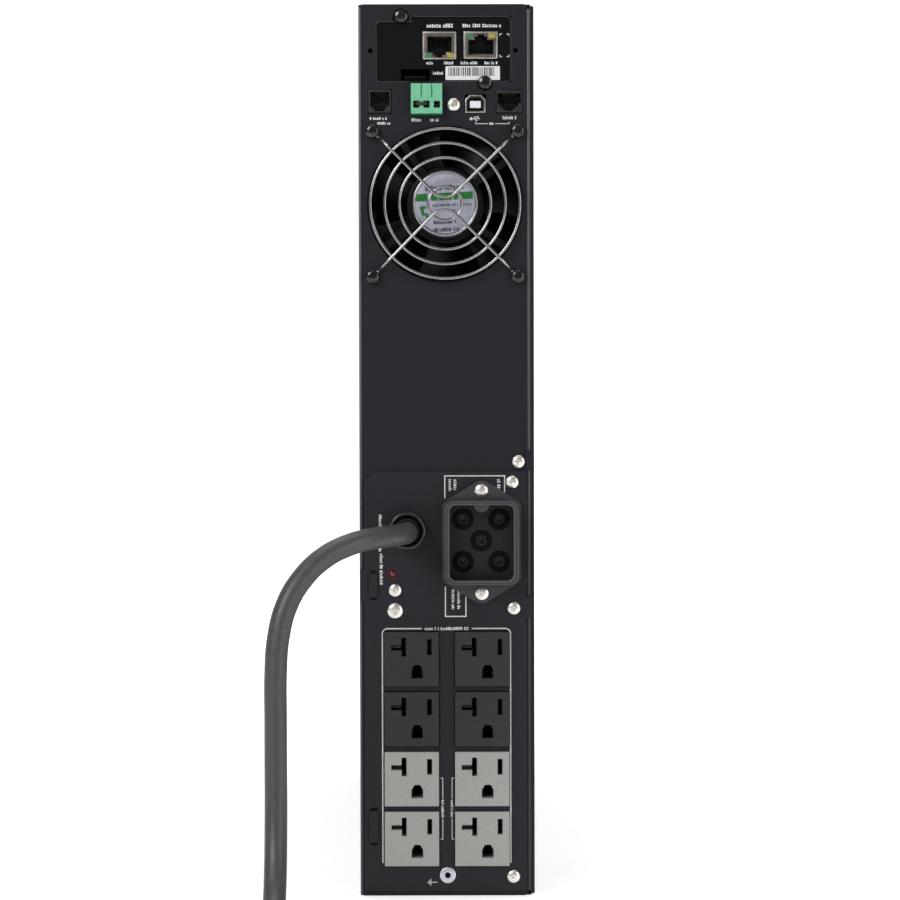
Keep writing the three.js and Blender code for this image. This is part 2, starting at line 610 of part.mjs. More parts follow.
// ---------------------------------------------------------------- electronics bay
function powerBoard() {
  const board = block([-37, -35.4], [-186, 196], [216, 434]);
  const capacitors = [];
  for (let row = 0; row < 3; row++)
    for (let column = 0; column < 2; column++) {
      const can = new THREE.CylinderGeometry(11, 11, 40, 14);
      can.rotateZ(Math.PI / 2);
      can.translate(-15.6, 40 + row * 25, 400 - column * 25);
      capacitors.push(solidOf(can));
    }
  const relays = [0, 1, 2].map((i) => block([-35.6, -15], [-170 + i * 34, -142 + i * 34], [222, 238]));
  const chokes = [0, 1].map((i) => block([-35.6, -8], [120 + i * 36, 148 + i * 36], [226, 262]));
  return join(board, ...capacitors, ...relays, ...chokes);
}

// An extruded heat sink: a thick spine with fins that stand out along X.
function heatSink() {
  const shape = new THREE.Shape();
  const [x0, x1, fins, pitch] = [-34.6, 24, 9, 6];
  shape.moveTo(x0, 0);
  for (let i = 0; i < fins; i++) {
    shape.lineTo(x1, i * pitch).lineTo(x1, i * pitch + 1.6);
    if (i < fins - 1) shape.lineTo(x0 + 5, i * pitch + 1.6).lineTo(x0 + 5, (i + 1) * pitch);
  }
  shape.lineTo(x0, (fins - 1) * pitch + 1.6).closePath();
  const sink = slab(shape, 290, 380);
  return sink.translate([0, -40, 0]);
}

// A laminated-core transformer: an E-I core round a wound coil.
function transformer() {
  const core = block([-30, 16], [-150, -86], [296, 384]);
  const windows = [[304, 320], [360, 376]].map((z) => block([-40, 30], [-142, -94], z));
  const coil = block([-34.6, 21], [-141, -95], [305, 375]);
  return join(cut(core, ...windows), coil);
}

// ---------------------------------------------------------------- battery drawer
function batteryTray() {
  const { z0, z1, x0, x1, back, front } = TRAY;
  const floor = block([x0, x0 + SHEET], [back, front], [z0, z1]);
  const lower = block([x0, x1], [back, front], [z0, z0 + SHEET]);
  const upper = block([x0, x1], [back, front], [z1 - SHEET, z1]);
  const rear = block([x0, 0], [back, back + SHEET], [z0, z1]);
  const face = block([x0, 28], [front - SHEET, front], [z0, z1]);
  const tab = block([-12, 8], [front - 0.5, front + 14], [109.4, 109.4 + SHEET]);
  const curl = block([-12, 8], [front + 14 - SHEET, front + 14], [109.8, 115]);
  return join(floor, lower, upper, rear, face, tab, curl);
}

// Two sealed lead-acid blocks in one shrink sleeve, side by side with a groove between them.
function batteryPair(from) {
  const x0 = TRAY.x0 + SHEET + GAP;
  const middle = (TRAY.z0 + TRAY.z1) / 2;
  const body = block([x0, x0 + BATTERY.x], [from, from + BATTERY.y], [middle - 94, middle + 94]);
  const top = x0 + BATTERY.x;
  const groove = block([top - 3, top + 1], [from - 1, from + BATTERY.y + 1], [middle - 1.2, middle + 1.2]);
  const posts = [-60, -34, 34, 60].map((dz) =>
    block([top - 1, top + 4], [from + 10, from + 20], [middle + dz - 3, middle + dz + 3]),
  );
  return join(cut(body, groove), ...posts);
}

// The pull-off plastic cover in front of the drawer: a shallow open-backed shell with air slots.
function batteryCover() {
  const shape = outline(-HALF, 0, HALF, COVER_TOP - 0.4, 3);
  const skin = plate(shape, CASE_FRONT_Y + GAP, BEZEL_FRONT_Y);
  const inside = outline(-HALF + BEZEL_WALL, BEZEL_WALL, HALF - BEZEL_WALL, COVER_TOP - BEZEL_WALL, 2);
  const cavity = plate(inside, CASE_FRONT_Y, BEZEL_FRONT_Y - BEZEL_WALL);
  const slots = [];
  for (let i = 0; i < 11; i++)
    slots.push(block([-30, 30], [BEZEL_FRONT_Y - 4, BEZEL_FRONT_Y + 1], [30 + i * 15, 33.6 + i * 15]));
  return cut(skin, cavity, ...slots);
}

// ---------------------------------------------------------------- front bezel and display
function frontBezel() {
  const skin = plate(outline(-HALF, COVER_TOP, HALF, HEIGHT, 3), CASE_FRONT_Y + GAP, BEZEL_FRONT_Y);
  const inside = outline(-HALF + BEZEL_WALL, COVER_TOP + BEZEL_WALL, HALF - BEZEL_WALL, HEIGHT - BEZEL_WALL, 2);
  const cavity = plate(inside, CASE_FRONT_Y, BEZEL_FRONT_Y - BEZEL_WALL);
  const { hingeX, reach, z0, z1 } = DISPLAY;
  const window = block([hingeX - reach - 0.8, hingeX + 2.4], [BEZEL_FRONT_Y - 6, BEZEL_FRONT_Y + 2], [z0 - 0.8, z1 + 0.8]);
  const slots = [222, 237, 252, 402, 417].map((z) =>
    block([-30, 30], [BEZEL_FRONT_Y - 4, BEZEL_FRONT_Y + 1], [z, z + 3.6]),
  );
  return cut(skin, cavity, window, ...slots);
}

// The tilting display: its edge away from the hinge is an arc about the hinge, so that it clears the window.
function displayHousing() {
  const { hingeX, hingeY, reach, depth, z0, z1 } = DISPLAY;
  const front = BEZEL_FRONT_Y;
  const back = front - depth;
  const shape = new THREE.Shape();
  const frontAngle = Math.PI - Math.asin((front - hingeY) / reach);
  const backAngle = Math.PI + Math.asin((hingeY - back) / reach);
  shape.moveTo(hingeX, back).lineTo(hingeX + 1, hingeY).lineTo(hingeX + 0.6, front);
  shape.lineTo(hingeX + reach * Math.cos(frontAngle), front);
  shape.absarc(hingeX, hingeY, reach, frontAngle, backAngle).closePath();
  const body = slab(shape, z0, z1);
  const glassSeat = block([-7.3, 22.3], [front - 1.8, front + 1], [294.7, 353.3]);
  const wells = buttonPlaces().map(([x, z, r]) => rod(x, z, r + GAP, front - 6, front + 1, 16));
  return cut(body, glassSeat, ...wells);
}

function buttonPlaces() {
  const menu = [300, 316, 332, 348].map((z) => [-16.4, z, BUTTON.radius]);
  return [...menu, [7.5, 371, 7]];
}

function button(radius) {
  const front = BEZEL_FRONT_Y + BUTTON.proud;
  return turned(
    [
      [0, BEZEL_FRONT_Y - 4.6],
      [radius, BEZEL_FRONT_Y - 4.6],
      [radius, front - 0.5],
      [radius - 0.5, front],
      [0, front],
    ],
    16,
  );
}

// ---------------------------------------------------------------- supply cord
// An oval with round ends, drawn in X and Y about the middle of the coil.
function oval(target, turn) {
  const half = COIL.straight / 2;
  target.moveTo(COIL.x + turn, COIL.y - half).lineTo(COIL.x + turn, COIL.y + half);
  target.absarc(COIL.x, COIL.y + half, turn, 0, Math.PI);
  target.lineTo(COIL.x - turn, COIL.y - half).absarc(COIL.x, COIL.y - half, turn, Math.PI, Math.PI * 2);
  return target;
}

function coilSolid(grow) {
  const shape = oval(new THREE.Shape(), COIL.outerTurn + CORD_RADIUS + grow);
  shape.holes.push(oval(new THREE.Path(), COIL.innerTurn - CORD_RADIUS - grow));
  return slab(shape, GAP - grow, COIL.height + grow, 8);
}

// The free run of the cord: a round section carried along a smooth curve, ending against the coil.
function cordTube() {
  const curve = new THREE.CatmullRomCurve3(CORD_ROUTE.map((p) => new THREE.Vector3(...p)), false, "centripetal");
  const section = new THREE.Shape().absarc(0, 0, CORD_RADIUS, 0, Math.PI * 2);
  const tube = new THREE.ExtrudeGeometry(section, { steps: 40, extrudePath: curve, curveSegments: 5 });
  return cut(solidOf(tube), coilSolid(GAP));
}

// A moulded straight plug on the floor: a flexible boot, a flared grip, two blades and a ground pin.
function powerPlug() {
  const { x, y, z, boot, body, radius } = PLUG;
  const neck = y - boot;
  const face = neck - body;
  const profile = [[0, face], [radius, face], [radius, neck - 14], [7.4, neck], [6.2, y], [0, y]];
  const parts = [
    block([x - 7.1, x - 5.6], [face - 17, face + 2], [z - 0.2, z + 6.1]),
    block([x + 3.2, x + 9.5], [face - 17, face + 2], [z + 2.2, z + 3.7]),
    rod(x, z - 8, 2.4, face - 20, face + 2, 10),
  ];
  return cut(join(turned(profile, 20, x, z), ...parts), coilSolid(GAP));
}

// ---------------------------------------------------------------- assembly
add(chassis, "chassis_shell", chassisShell(), "blackSteel");
add(chassis, "top_cover", topCover(), "blackSteel");
add(chassis, "rear_panel", rearPanel(), "blackSteel");
add(chassis, "outlet_panel", outletPanel(), "blackSteel");
add(chassis, "front_frame", frontFrame(), "blackSteel");
add(chassis, "fan_frame", fanFrame(), "blackPlastic");
add(chassis, "fan_guard", fanGuard(), "chrome");
add(unit, "fan_rotor", fanRotor(), "blackPlastic");

const fanScrew = panScrew({ head: 3.5, rise: 2.4, shank: 1.8, length: 14 });
[[-1, 1], [1, 1], [-1, -1], [1, -1]].forEach(([sx, sz], i) => {
  const place = [FAN.x + (sx * FAN.pitch) / 2, REAR_Y - 1.8, FAN.z + (sz * FAN.pitch) / 2];
  add(chassis, `fan_screw_${i + 1}`, fanScrew, "blackScrew", place);
});

const panelScrew = panScrew(SCREW);
const largeScrew = panScrew({ ...SCREW, head: 4 });
PANEL_SCREWS.forEach(([x, z, face], i) => {
  const seat = face - REST;
  add(chassis, `panel_screw_${i + 1}`, i === LARGE_SCREW ? largeScrew : panelScrew, "zinc", [x, seat, z]);
});

const outletSolid = outlet();
outletCentres().forEach(([x, z], i) => {
  add(chassis, `outlet_${i + 1}`, outletSolid, i < 4 ? "outletBlack" : "outletGrey", [x, PANEL_FRONT_Y, z]);
});

add(chassis, "battery_connector", batteryConnector(), "blackPlastic");
add(chassis, "cord_gland", cordGland(), "blackPlastic");
const lens = [[0, -1.6], [1, -1.3], [1.5, -0.5], [1.6, 0], [1.6, 5], [0, 5]];
add(chassis, "fault_led", turned(lens, 12), "ledRed", [LED.x, PANEL_FRONT_Y, LED.z]);
const post = [[0, 2], [1.2, 1.6], [1.3, -3], [3.2, -3], [4, -2.2], [4, -REST], [2.1, -REST], [2.1, 7], [0, 7]];
add(chassis, "ground_post", turned(post, 16), "zinc", [GROUND.x, PANEL_FRONT_Y, GROUND.z]);

const signalJack = { width: 11.2, height: 11.4, depth: 16, mouth: [9.8, 7.2], lift: 0.9, notch: 6, notchUp: false };
add(chassis, "battery_signal_jack", modularJack(signalJack), "blackPlastic", [JACKS.batteryX, REAR_Y - 0.3, 392.4]);
const serialJack = { width: 12.4, height: 11, depth: 18, mouth: [11.4, 6.2], lift: 0.6, notch: 6.4, notchUp: false };
add(chassis, "serial_port", modularJack(serialJack), "blackPlastic", [JACKS.serialX, REAR_Y - 0.3, 392.2]);
add(chassis, "usb_port", usbPort(), "jackShield", [JACKS.usbX, REAR_Y - 0.5, 391]);
add(chassis, "terminal_header", terminalHeader(), "terminalGreen", [JACKS.terminalX, 0, TERMINAL.z]);
add(unit, "terminal_plug", terminalPlug(), "terminalGreen", [JACKS.terminalX, 0, TERMINAL.z]);
add(chassis, "power_board", powerBoard(), "circuitGreen");
add(chassis, "heat_sink", heatSink(), "aluminium");
add(chassis, "transformer", transformer(), "copper");

add(networkCard, "card_plate", cardPlate(), "cardBlack");
add(networkCard, "card_board", cardBoard(), "circuitGreen");
const ethernet = { width: 16.4, height: 13.6, depth: 21, mouth: [12, 8.6], notch: 6.4 };
add(networkCard, "ethernet_jack", modularJack({ ...ethernet, notchUp: false }), "jackShield", [-3.1, REAR_Y - 0.6, 419.7]);
add(networkCard, "sensor_jack", modularJack({ ...ethernet, notchUp: true }), "jackShield", [17.15, REAR_Y - 0.6, 419.7]);
const cardScrew = panScrew({ ...SCREW, head: 3.5, rise: 2.6 });
CARD_SCREWS.forEach(([x, z], i) => {
  add(networkCard, `card_screw_${i + 1}`, cardScrew, "blackScrew", [x, REAR_Y + SHEET - 0.8 - REST, z]);
});

add(batteryDrawer, "battery_tray", batteryTray(), "aluminium");
add(batteryDrawer, "battery_pair_1", batteryPair(TRAY.front - SHEET - GAP - BATTERY.y), "battery");
add(batteryDrawer, "battery_pair_2", batteryPair(TRAY.front - SHEET - 2 * GAP - 2 * BATTERY.y), "battery");
add(batteryDrawer, "battery_cover", batteryCover(), "blackPlastic");

add(chassis, "front_bezel", frontBezel(), "blackPlastic");
add(display, "display_housing", displayHousing(), "blackPlastic");
const glass = block([-7, 22], [BEZEL_FRONT_Y - 1.7, BEZEL_FRONT_Y - 0.1], [295, 353]);
add(display, "display_glass", glass, "glass");
buttonPlaces().forEach(([x, z, radius], i) => {
  const name = i < 4 ? `menu_button_${i + 1}` : "power_button";
  add(display, name, button(radius), "outletGrey", [x, 0, z]);
});

add(chassis, "power_cord", cordTube(), "cordRubber");
add(chassis, "cord_coil", coilSolid(0), "cordRubber");
add(chassis, "power_plug", powerPlug(), "blackPlastic");

export default unit;
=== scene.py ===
"""The looks of a two-unit rackmount UPS, standing on its long side and seen from the rear.

Lengths in this file are millimetres until the helper functions turn them into metres. X is to the right
as the rear is seen, Y runs from the rear panel to the front bezel, and Z is up.
"""

import math
import random

import bmesh
import bpy
from mathutils import Matrix, Vector


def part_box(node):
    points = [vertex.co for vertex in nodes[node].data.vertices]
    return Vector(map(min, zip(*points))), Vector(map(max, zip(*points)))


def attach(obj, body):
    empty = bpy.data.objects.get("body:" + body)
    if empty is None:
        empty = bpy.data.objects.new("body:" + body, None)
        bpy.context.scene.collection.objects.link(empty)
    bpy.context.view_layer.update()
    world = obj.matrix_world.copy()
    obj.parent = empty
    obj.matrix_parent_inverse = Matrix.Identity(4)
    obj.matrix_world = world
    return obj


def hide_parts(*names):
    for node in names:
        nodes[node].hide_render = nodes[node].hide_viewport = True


MM = 0.001
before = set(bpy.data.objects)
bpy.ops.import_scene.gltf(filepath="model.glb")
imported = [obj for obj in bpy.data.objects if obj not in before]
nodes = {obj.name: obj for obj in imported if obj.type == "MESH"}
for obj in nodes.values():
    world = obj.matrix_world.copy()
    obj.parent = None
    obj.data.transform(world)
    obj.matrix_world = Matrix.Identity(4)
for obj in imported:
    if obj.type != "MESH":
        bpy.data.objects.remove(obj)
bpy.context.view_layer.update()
scene = bpy.context.scene
draw = random.Random(11)
HERE = Matrix.Identity(4)


def span(node):
    """The lowest and highest corner of a CAD node, in millimetres."""
    low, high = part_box(node)
    return low / MM, high / MM


WALL_Y = -219.0  # outer face of the upper rear wall
PLATE_Y = -220.25  # outer face of the screwed-on outlet panel
CARD_Y = -218.6  # outer face of the network card's plate
BEZEL_Y = span("front_bezel")[1].y
CASE_TOP = span("chassis_shell")[1].z

# ---------------------------------------------------------------- camera
CAMERA_DISTANCE = 1300  # from the rear wall
CAMERA_HEIGHT = 247.89
CAMERA_PITCH = math.radians(-1.2)
CAMERA_YAW = math.radians(0.0714)
CAMERA_ROLL = math.radians(-0.128)
LENS = 105.383
SENSOR = 36


def make_camera():
    data = bpy.data.cameras.new("camera")
    data.lens = LENS
    data.sensor_width = SENSOR
    data.clip_start = 0.05
    data.clip_end = 60
    camera = bpy.data.objects.new("camera", data)
    scene.collection.objects.link(camera)
    level = math.cos(CAMERA_PITCH)
    ahead = Vector((math.sin(CAMERA_YAW) * level, math.cos(CAMERA_YAW) * level, math.sin(CAMERA_PITCH)))
    flat = Vector((math.cos(CAMERA_YAW), -math.sin(CAMERA_YAW), 0))
    above = flat.cross(ahead)
    side = math.cos(CAMERA_ROLL) * flat + math.sin(CAMERA_ROLL) * above
    top = math.cos(CAMERA_ROLL) * above - math.sin(CAMERA_ROLL) * flat
    turn = Matrix((side, top, -ahead)).transposed()
    place = Vector((0, WALL_Y - CAMERA_DISTANCE, CAMERA_HEIGHT)) * MM
    camera.matrix_world = Matrix.Translation(place) @ turn.to_4x4()
    scene.camera = camera


make_camera()


# ---------------------------------------------------------------- materials
class Finish:
    """A procedural surface: two colours mixed by noise, uneven roughness and a fine relief."""

    def __init__(self, name, dark, light, roughness, metallic=0.0):
        self.material = bpy.data.materials.new(name)
        self.material.use_nodes = True
        self.tree = self.material.node_tree
        self.shader = self.tree.nodes["Principled BSDF"]
        self.shader.inputs["Metallic"].default_value = metallic
        self.place = self.node("ShaderNodeTexCoord").outputs["Object"]
        self.dark = dark
        self.light = light
        self.roughness = roughness
        self.height = None

    def node(self, kind, **values):
        made = self.tree.nodes.new(kind)
        for key, value in values.items():
            if key in made.inputs:
                made.inputs[key].default_value = value
            else:
                setattr(made, key, value)
        return made

    def link(self, source, target):
        self.tree.links.new(source, target)

    def noise(self, size, detail=3.0, rough=0.5, stretch=None):
        """Noise whose features are about size millimetres."""
        place = self.place
        if stretch:
            mapping = self.node("ShaderNodeMapping")
            mapping.inputs["Scale"].default_value = stretch
            self.link(place, mapping.inputs["Vector"])
            place = mapping.outputs["Vector"]
        made = self.node("ShaderNodeTexNoise", Scale=1 / (size * MM), Detail=detail, Roughness=rough)
        self.link(place, made.inputs["Vector"])
        return made.outputs["Fac"]

    def ramp(self, source, low, high, first, last):
        made = self.node("ShaderNodeMapRange")
        made.inputs["From Min"].default_value = low
        made.inputs["From Max"].default_value = high
        made.inputs["To Min"].default_value = first
        made.inputs["To Max"].default_value = last
        self.link(source, made.inputs["Value"])
        return made.outputs["Result"]

    def mix(self, factor, first, last):
        made = self.node("ShaderNodeMix", data_type="RGBA")
        made.inputs[6].default_value = (*first, 1)
        made.inputs[7].default_value = (*last, 1)
        self.link(factor, made.inputs[0])
        return made.outputs[2]

    def colour(self, size, detail=3.0, stretch=None):
        factor = self.ramp(self.noise(size, detail, 0.6, stretch), 0.3, 0.7, 0, 1)
        self.link(self.mix(factor, self.dark, self.light), self.shader.inputs["Base Color"])
        return self

    def gloss(self, size, stretch=None):
        first, last = self.roughness
        result = self.ramp(self.noise(size, 2.0, 0.5, stretch), 0.3, 0.7, first, last)
        self.link(result, self.shader.inputs["Roughness"])
        return self

    def relief(self, size, depth, strength=0.6, stretch=None):
        """Bumps of that size, and depth millimetres deep."""
        bump = self.node("ShaderNodeBump", Strength=strength, Distance=depth * MM)
        self.link(self.noise(size, 2.0, 0.5, stretch), bump.inputs["Height"])
        if self.height:
            self.link(self.height, bump.inputs["Normal"])
        self.height = bump.outputs["Normal"]
        self.link(self.height, self.shader.inputs["Normal"])
        return self

    def set(self, **sockets):
        for key, value in sockets.items():
            self.shader.inputs[key.replace("_", " ")].default_value = value
        return self


def painted_steel(name, dark, light):
    made = Finish(name, dark, light, (0.46, 0.6))
    made.colour(0.5).gloss(6).relief(0.35, 0.02, 0.5).relief(1.6, 0.03, 0.35)
    return made.set(Specular_IOR_Level=0.24).material


def card_steel():
    made = Finish("card_plate_paint", (0.0012, 0.0012, 0.0020), (0.0024, 0.0023, 0.0036), (0.5, 0.62))
    made.colour(0.5).gloss(5).relief(0.4, 0.02, 0.4)
    return made.set(Specular_IOR_Level=0.1).material


def plastic(name, dark, light, roughness=(0.4, 0.5), grain=0.25, depth=0.012, specular=0.5):
    made = Finish(name, dark, light, roughness)
    return made.colour(1.5).gloss(4).relief(grain, depth, 0.5).set(Specular_IOR_Level=specular).material


def metal(name, dark, light, roughness=(0.16, 0.3), brushed=None, depth=0.004):
    made = Finish(name, dark, light, roughness, 1.0)
    return made.colour(3, 4, brushed).gloss(1.2, brushed).relief(0.3, depth, 0.4, brushed).material


def painted_edge_highlight(name, foot, head):
    """A painted highlight for light on a rounded bend, darker at the unit's foot than at its head."""
    made = Finish(name, foot, head, (0.4, 0.5))
    split = made.node("ShaderNodeSeparateXYZ")
    made.link(made.place, split.inputs[0])
    # The painted highlight is darker low on the unit and lighter towards its head.
    rise = made.ramp(split.outputs["Z"], 0.08, 0.38, 0, 1)
    made.link(made.mix(rise, foot, head), made.shader.inputs["Base Color"])
    made.gloss(6).relief(1.5, 0.01, 0.4)
    return made.material


def rubber():
    made = Finish("cord_rubber", (0.036, 0.035, 0.041), (0.048, 0.047, 0.054), (0.38, 0.5))
    return made.colour(2.5).gloss(5).relief(0.5, 0.02, 0.5).set(Specular_IOR_Level=0.55).material


def hook_and_loop():
    made = Finish("tie_fabric", (0.010, 0.010, 0.012), (0.045, 0.045, 0.050), (0.85, 0.95))
    made.colour(0.6, 6).gloss(2).relief(0.5, 0.25, 0.9)
    return made.set(Sheen_Weight=0.5, Sheen_Roughness=0.6).material


def clear(name, colour, roughness):
    made = Finish(name, tuple(c * 0.8 for c in colour), colour, (roughness, roughness + 0.08))
    made.colour(1.2).gloss(2).relief(0.8, 0.004, 0.3)
    return made.set(Coat_Weight=0.6, Coat_Roughness=0.06).material


def board():
    made = Finish("circuit_board", (0.010, 0.055, 0.022), (0.016, 0.100, 0.035), (0.3, 0.45))
    made.colour(2.2, 8, (1, 0.35, 1)).gloss(3).relief(1.2, 0.05, 0.6)
    return made.material


# Each row is dark and light colour, then roughness, grain, relief depth and specular level where they differ.
PLASTICS = {
    "black_plastic": ((0.0080, 0.0080, 0.0095), (0.0130, 0.0130, 0.0150)),
    "fan_plastic": ((0.0022, 0.0022, 0.0026), (0.0040, 0.0040, 0.0048), (0.4, 0.5), 0.25, 0.012, 0.14),
    "connector_plastic": ((0.021, 0.0205, 0.026), (0.030, 0.029, 0.036), (0.34, 0.44)),
    "gland_plastic": ((0.014, 0.0138, 0.017), (0.022, 0.0215, 0.026), (0.22, 0.3)),
    # Painted highlight for the lines along the battery connector's rim.
    "lip_plastic": ((0.050, 0.049, 0.056), (0.066, 0.065, 0.072), (0.3, 0.4)),
    # Painted highlight for the light line round the card's opening.
    "rim_paint": ((0.032, 0.031, 0.036), (0.044, 0.043, 0.048)),
    "outlet_black": ((0.0074, 0.0071, 0.0108), (0.0112, 0.0108, 0.0156), (0.38, 0.48)),
    "outlet_grey": ((0.262, 0.262, 0.246), (0.300, 0.300, 0.282), (0.42, 0.54)),
    "button_grey": ((0.30, 0.31, 0.32), (0.36, 0.37, 0.38)),
    "jack_black": ((0.0022, 0.0022, 0.0026), (0.0040, 0.0040, 0.0046)),
    "jack_tongue": ((0.60, 0.60, 0.63), (0.70, 0.70, 0.73)),
    # Darker than the connector's plastic: painted shade for the floor deep in its recess.
    "painted_shade_connector_floor": ((0.0060, 0.0060, 0.0078), (0.0090, 0.0090, 0.0115), (0.45, 0.55), 0.25, 0.012, 0.3),
    # Near-black painted shade, put in holes, slots and mouths where there is only shade.
    "painted_shade_black": ((0.002, 0.002, 0.002), (0.004, 0.004, 0.004), (0.6, 0.8), 0.25, 0.012, 0.1),
    "terminal_green": ((0.115, 0.370, 0.215), (0.150, 0.440, 0.262), (0.38, 0.48)),
    "battery_case": ((0.030, 0.033, 0.038), (0.045, 0.048, 0.054), (0.3, 0.45)),
    "white_ink": ((0.50, 0.50, 0.50), (0.60, 0.60, 0.60), (0.5, 0.6), 0.3, 0.004),
    "label_paper": ((0.56, 0.56, 0.58), (0.63, 0.63, 0.65), (0.45, 0.6), 0.4, 0.004),
    "label_ink": ((0.012, 0.012, 0.014), (0.03, 0.03, 0.034), (0.5, 0.6)),
    "label_lilac": ((0.32, 0.325, 0.40), (0.41, 0.415, 0.50), (0.3, 0.4), 0.4, 0.004),
    "label_green": ((0.004, 0.125, 0.010), (0.010, 0.180, 0.020), (0.3, 0.4), 0.4, 0.004),
}
# Each row is dark and light colour and roughness, then brushed stretch and relief depth where it has them.
METALS = {
    "jack_band": ((0.13, 0.12, 0.11), (0.22, 0.20, 0.185), (0.3, 0.42), (1, 1, 0.2)),
    # Contact metal darkened to near black: painted shade for its place deep in slots and wells.
    "painted_shade_contact_metal": ((0.030, 0.028, 0.026), (0.070, 0.066, 0.060), (0.3, 0.42)),
    "washer": ((0.55, 0.54, 0.60), (0.70, 0.69, 0.76), (0.3, 0.45)),
    "guard_chrome": ((0.27, 0.265, 0.275), (0.36, 0.355, 0.365), (0.16, 0.24)),
    "screw_nickel": ((0.74, 0.70, 0.66), (0.82, 0.78, 0.74), (0.27, 0.33), None, 0.001),
    "screw_black": ((0.035, 0.034, 0.036), (0.075, 0.073, 0.076), (0.12, 0.22)),
    "jack_shield": ((0.36, 0.33, 0.30), (0.52, 0.48, 0.44), (0.25, 0.4), (1, 1, 0.2)),
    "brass": ((0.60, 0.42, 0.18), (0.78, 0.56, 0.26), (0.2, 0.35)),
    "tray_steel": ((0.45, 0.46, 0.47), (0.60, 0.61, 0.62), (0.3, 0.45), (1, 0.1, 1)),
    "sink_aluminium": ((0.50, 0.51, 0.53), (0.66, 0.67, 0.69), (0.3, 0.42), (1, 1, 0.1)),
    "transformer_core": ((0.030, 0.026, 0.024), (0.070, 0.058, 0.050), (0.4, 0.55), (1, 8, 1)),
}
CLEARS = {
    "led_red": ((0.085, 0.004, 0.009), 0.16),
    "led_green": ((0.035, 0.16, 0.075), 0.25),
    "led_yellow": ((0.34, 0.26, 0.035), 0.25),
    "display_lens": ((0.010, 0.014, 0.020), 0.06),
    "display_ink": ((0.10, 0.26, 0.42), 0.3),
}
looks = {
    "black_steel": painted_steel("powder_coated_steel", (0.0050, 0.0048, 0.0078), (0.0086, 0.0082, 0.0132)),
    "plate_steel": painted_steel("outlet_panel_paint", (0.0085, 0.0082, 0.0115), (0.0135, 0.0130, 0.0180)),
    "card_steel": card_steel(),
    # Lighter strips at the case's rounded bends: painted highlights for light catching them.
    "side_bend": painted_edge_highlight("painted_side_bend_highlight", (0.050, 0.049, 0.056), (0.098, 0.096, 0.104)),
    "lid_fold_highlight": painted_edge_highlight("painted_lid_fold_highlight", (0.014, 0.0138, 0.0165), (0.070, 0.068, 0.076)),
    "circuit_board": board(),
    "cord_rubber": rubber(),
    "tie": hook_and_loop(),
    **{name: plastic(name, *row) for name, row in PLASTICS.items()},
    **{name: metal(name, *row) for name, row in METALS.items()},
    **{name: clear(name, *row) for name, row in CLEARS.items()},
}


# ---------------------------------------------------------------- meshes
def placed(name, mesh, look, body, stands_for=()):
    """Links a mesh or curve as a piece that rides on a body."""
    piece = bpy.data.objects.new(name, mesh)
    scene.collection.objects.link(piece)
    for each in [look] if isinstance(look, str) else look:
        mesh.materials.append(looks[each])
    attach(piece, body)
    if stands_for:
        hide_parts(*stands_for)
    return piece


def smooth_shaded(mesh, angle):
    """The mesh, smooth where its faces meet at less than that many degrees."""
    mesh.polygons.foreach_set("use_smooth", [True] * len(mesh.polygons))
    mesh.set_sharp_from_angle(angle=math.radians(angle))
    return mesh


def evaluated(holder):
    """A new mesh of an object's shape, with its modifiers and without its materials."""
    bpy.context.view_layer.update()
    made = bpy.data.meshes.new_from_object(holder.evaluated_get(bpy.context.evaluated_depsgraph_get()))
    made.materials.clear()
    return made


def mesh_of(bm, name="part", smooth=None):
    """A mesh from a bmesh in millimetres, smooth where its faces meet at less than that many degrees."""
    bmesh.ops.recalc_face_normals(bm, faces=bm.faces)
    bmesh.ops.scale(bm, vec=(MM, MM, MM), verts=bm.verts)
    mesh = bpy.data.meshes.new(name)
    bm.to_mesh(mesh)
    bm.free()
    return smooth_shaded(mesh, smooth) if smooth else mesh


def gather(meshes, smooth=None):
    """One mesh from several, given as meshes in metres or (mesh, matrix, material index)."""
    bm = bmesh.new()
    for entry in meshes:
        mesh, matrix, index = entry if isinstance(entry, tuple) else (entry, HERE, 0)
        copy = mesh.copy()
        copy.transform(matrix)
        before = len(bm.faces)
        bm.from_mesh(copy)
        bm.faces.ensure_lookup_table()
        for face in bm.faces[before:]:
            face.material_index = index
        bpy.data.meshes.remove(copy)
    mesh = bpy.data.meshes.new("part")
    bm.to_mesh(mesh)
    bm.free()
    return smooth_shaded(mesh, smooth) if smooth else mesh


def moved(x=0.0, y=0.0, z=0.0):
    return Matrix.Translation(Vector((x, y, z)) * MM)


def box_mesh(x, y, z, rounding=0.0):
    """A box between pairs of coordinates, its edges rounded."""
    bm = bmesh.new()
    bmesh.ops.create_cube(bm, size=1)
    for v in bm.verts:
        v.co = Vector([low + (share + 0.5) * (high - low) for share, (low, high) in zip(v.co, (x, y, z))])
    if rounding:
        bmesh.ops.bevel(bm, geom=bm.edges[:], offset=rounding, segments=2, profile=0.5, affect="EDGES")
    return mesh_of(bm, smooth=40 if rounding else None)


